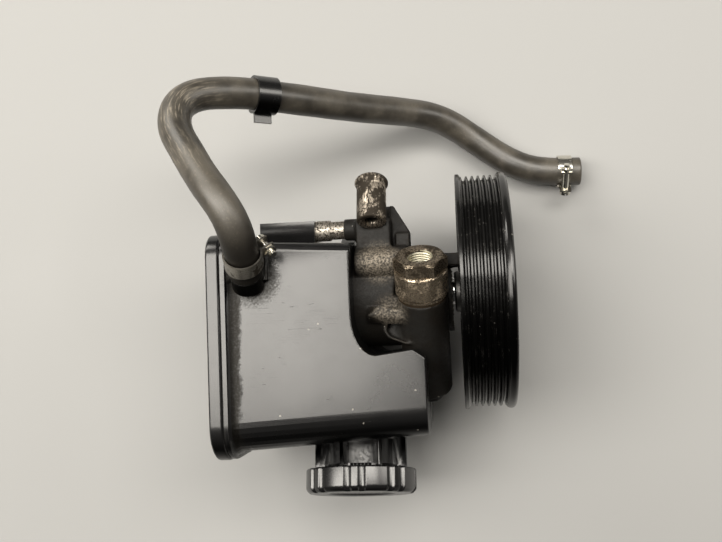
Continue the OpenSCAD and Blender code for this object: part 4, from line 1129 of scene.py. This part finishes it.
class PUMP_OT_outlet_thread(bpy.types.Operator):
    """Bright internal thread of the outlet union"""

    bl_idname = "pump.outlet_thread"
    bl_label = "Outlet thread"

    def execute(self, context):
        """A tooth carried along a helix: place + (start + pitch * turns) * axis + radius * (cos a * u
        + sin a * v). The tooth fades out at both ends."""
        s = context.scene.pump_metal
        turns, per_turn = 9, 72
        crest, root = 6.62, 7.25
        start = 26.0 * MM
        fade_angle, least_height = 1.5, 0.05
        place, direction = VALVE_AXIS
        u, v = across(direction)
        a = np.linspace(0, 2 * math.pi * turns, turns * per_turn + 1)
        tooth = MM * np.array([(root, -0.62), (crest, -0.10), (crest, 0.10), (root, 0.62)])
        fade = np.clip(np.minimum(a, a[-1] - a) / fade_angle, least_height, 1)[:, None]
        radius = root * MM + (tooth[None, :, 0] - root * MM) * fade
        station = (start + s.thread_pitch * a / (2 * math.pi))[:, None] + tooth[None, :, 1]
        ring = np.cos(a)[:, None] * u + np.sin(a)[:, None] * v
        points = place + station[..., None] * direction + radius[..., None] * ring[:, None]
        quads = grid_quads(len(a), len(tooth))
        thread = make_piece("union_thread", points.reshape(-1, 3), quads, "casing")
        thread.data.set_sharp_from_angle(angle=math.radians(30))
        dress(thread, ground_material("bright_thread", (0.86, 0.82, 0.66), rough=0.40))
        return {"FINISHED"}


class PUMP_OT_finishes(bpy.types.Operator):
    """Finishes of the CAD parts that keep their own shape"""

    bl_idname = "pump.finishes"
    bl_label = "Finishes"

    def execute(self, context):
        s = context.scene.pump_metal
        finishes = {
            "pulley_black": pulley_material("pulley_coating", s),
            "yellow_zinc": plated_material("yellow_zinc", s, s.zinc_colour[:], amount=0.30, scale=75.0,
                                           rough=0.30, speckled=0.95),
            "zinc_steel": plated_material("zinc_steel", s, (0.88, 0.85, 0.76), amount=0.16, scale=110.0,
                                          rough=0.24, speckled=0.25, bump=0.05),
            "copper": plated_material("copper", s, (0.40, 0.28, 0.18), amount=0.60, scale=90.0),
            "bearing_steel": ground_material("bearing_steel", (0.62, 0.62, 0.62), rough=0.22),
            "hardened_steel": ground_material("hardened_steel", (0.16, 0.155, 0.15), rough=0.40),
            "bronze": ground_material("bronze", (0.55, 0.42, 0.22), rough=0.34),
            "seal_rubber": plain_rubber_material("seal_rubber"),
        }
        for part in frame["record"]["subparts"]:
            if part["material_slot"] in finishes:
                dress(NODES[part["node"]], finishes[part["material_slot"]])
        stained = plated_material("stained_zinc", s, (0.48, 0.44, 0.38), amount=0.28, scale=90.0, rough=0.40)
        for node in ("reservoir_bolt", "reservoir_bolt_sleeve"):
            dress(NODES[node], stained)
        oiled = plated_material("oiled_zinc", s, (0.36, 0.34, 0.30), amount=0.26, scale=110.0, rough=0.30,
                                speckled=0.4, bump=0.05)
        dress(NODES["tank_clamp"], oiled)
        return {"FINISHED"}


class PUMP_PT_panel(bpy.types.Panel):
    """Lists the steps and their settings"""

    bl_idname = "PUMP_PT_panel"
    bl_label = "Power Steering Pump"
    bl_space_type = "VIEW_3D"
    bl_region_type = "UI"
    bl_category = "Pump"

    def draw(self, context):
        for step in STEPS:
            self.layout.operator(step.bl_idname)
        for group in GROUPS_OF_SETTINGS:
            box = self.layout.box()
            settings = getattr(context.scene, group)
            for name in settings.bl_rna.properties.keys():
                if name not in {"rna_type", "name"}:
                    box.prop(settings, name)


STEPS = (PUMP_OT_stage, PUMP_OT_return_hose, PUMP_OT_reservoir, PUMP_OT_casting, PUMP_OT_filler_cap,
         PUMP_OT_return_spigot, PUMP_OT_outlet_union, PUMP_OT_outlet_thread, PUMP_OT_finishes)
GROUPS_OF_SETTINGS = {"pump_stage": PumpStageSettings, "pump_hose": PumpHoseSettings,
                      "pump_shell": PumpShellSettings, "pump_metal": PumpMetalSettings}


def register():
    for name, group in GROUPS_OF_SETTINGS.items():
        bpy.utils.register_class(group)
        setattr(bpy.types.Scene, name, PointerProperty(type=group))
    for cls in (*STEPS, PUMP_PT_panel):
        bpy.utils.register_class(cls)


def unregister():
    for cls in (PUMP_PT_panel, *reversed(STEPS)):
        bpy.utils.unregister_class(cls)
    for name, group in GROUPS_OF_SETTINGS.items():
        delattr(bpy.types.Scene, name)
        bpy.utils.unregister_class(group)


def main():
    """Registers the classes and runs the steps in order."""
    register()
    for step in STEPS:
        group, name = step.bl_idname.split(".")
        getattr(getattr(bpy.ops, group), name)()


if __name__ == "__main__":
    main()
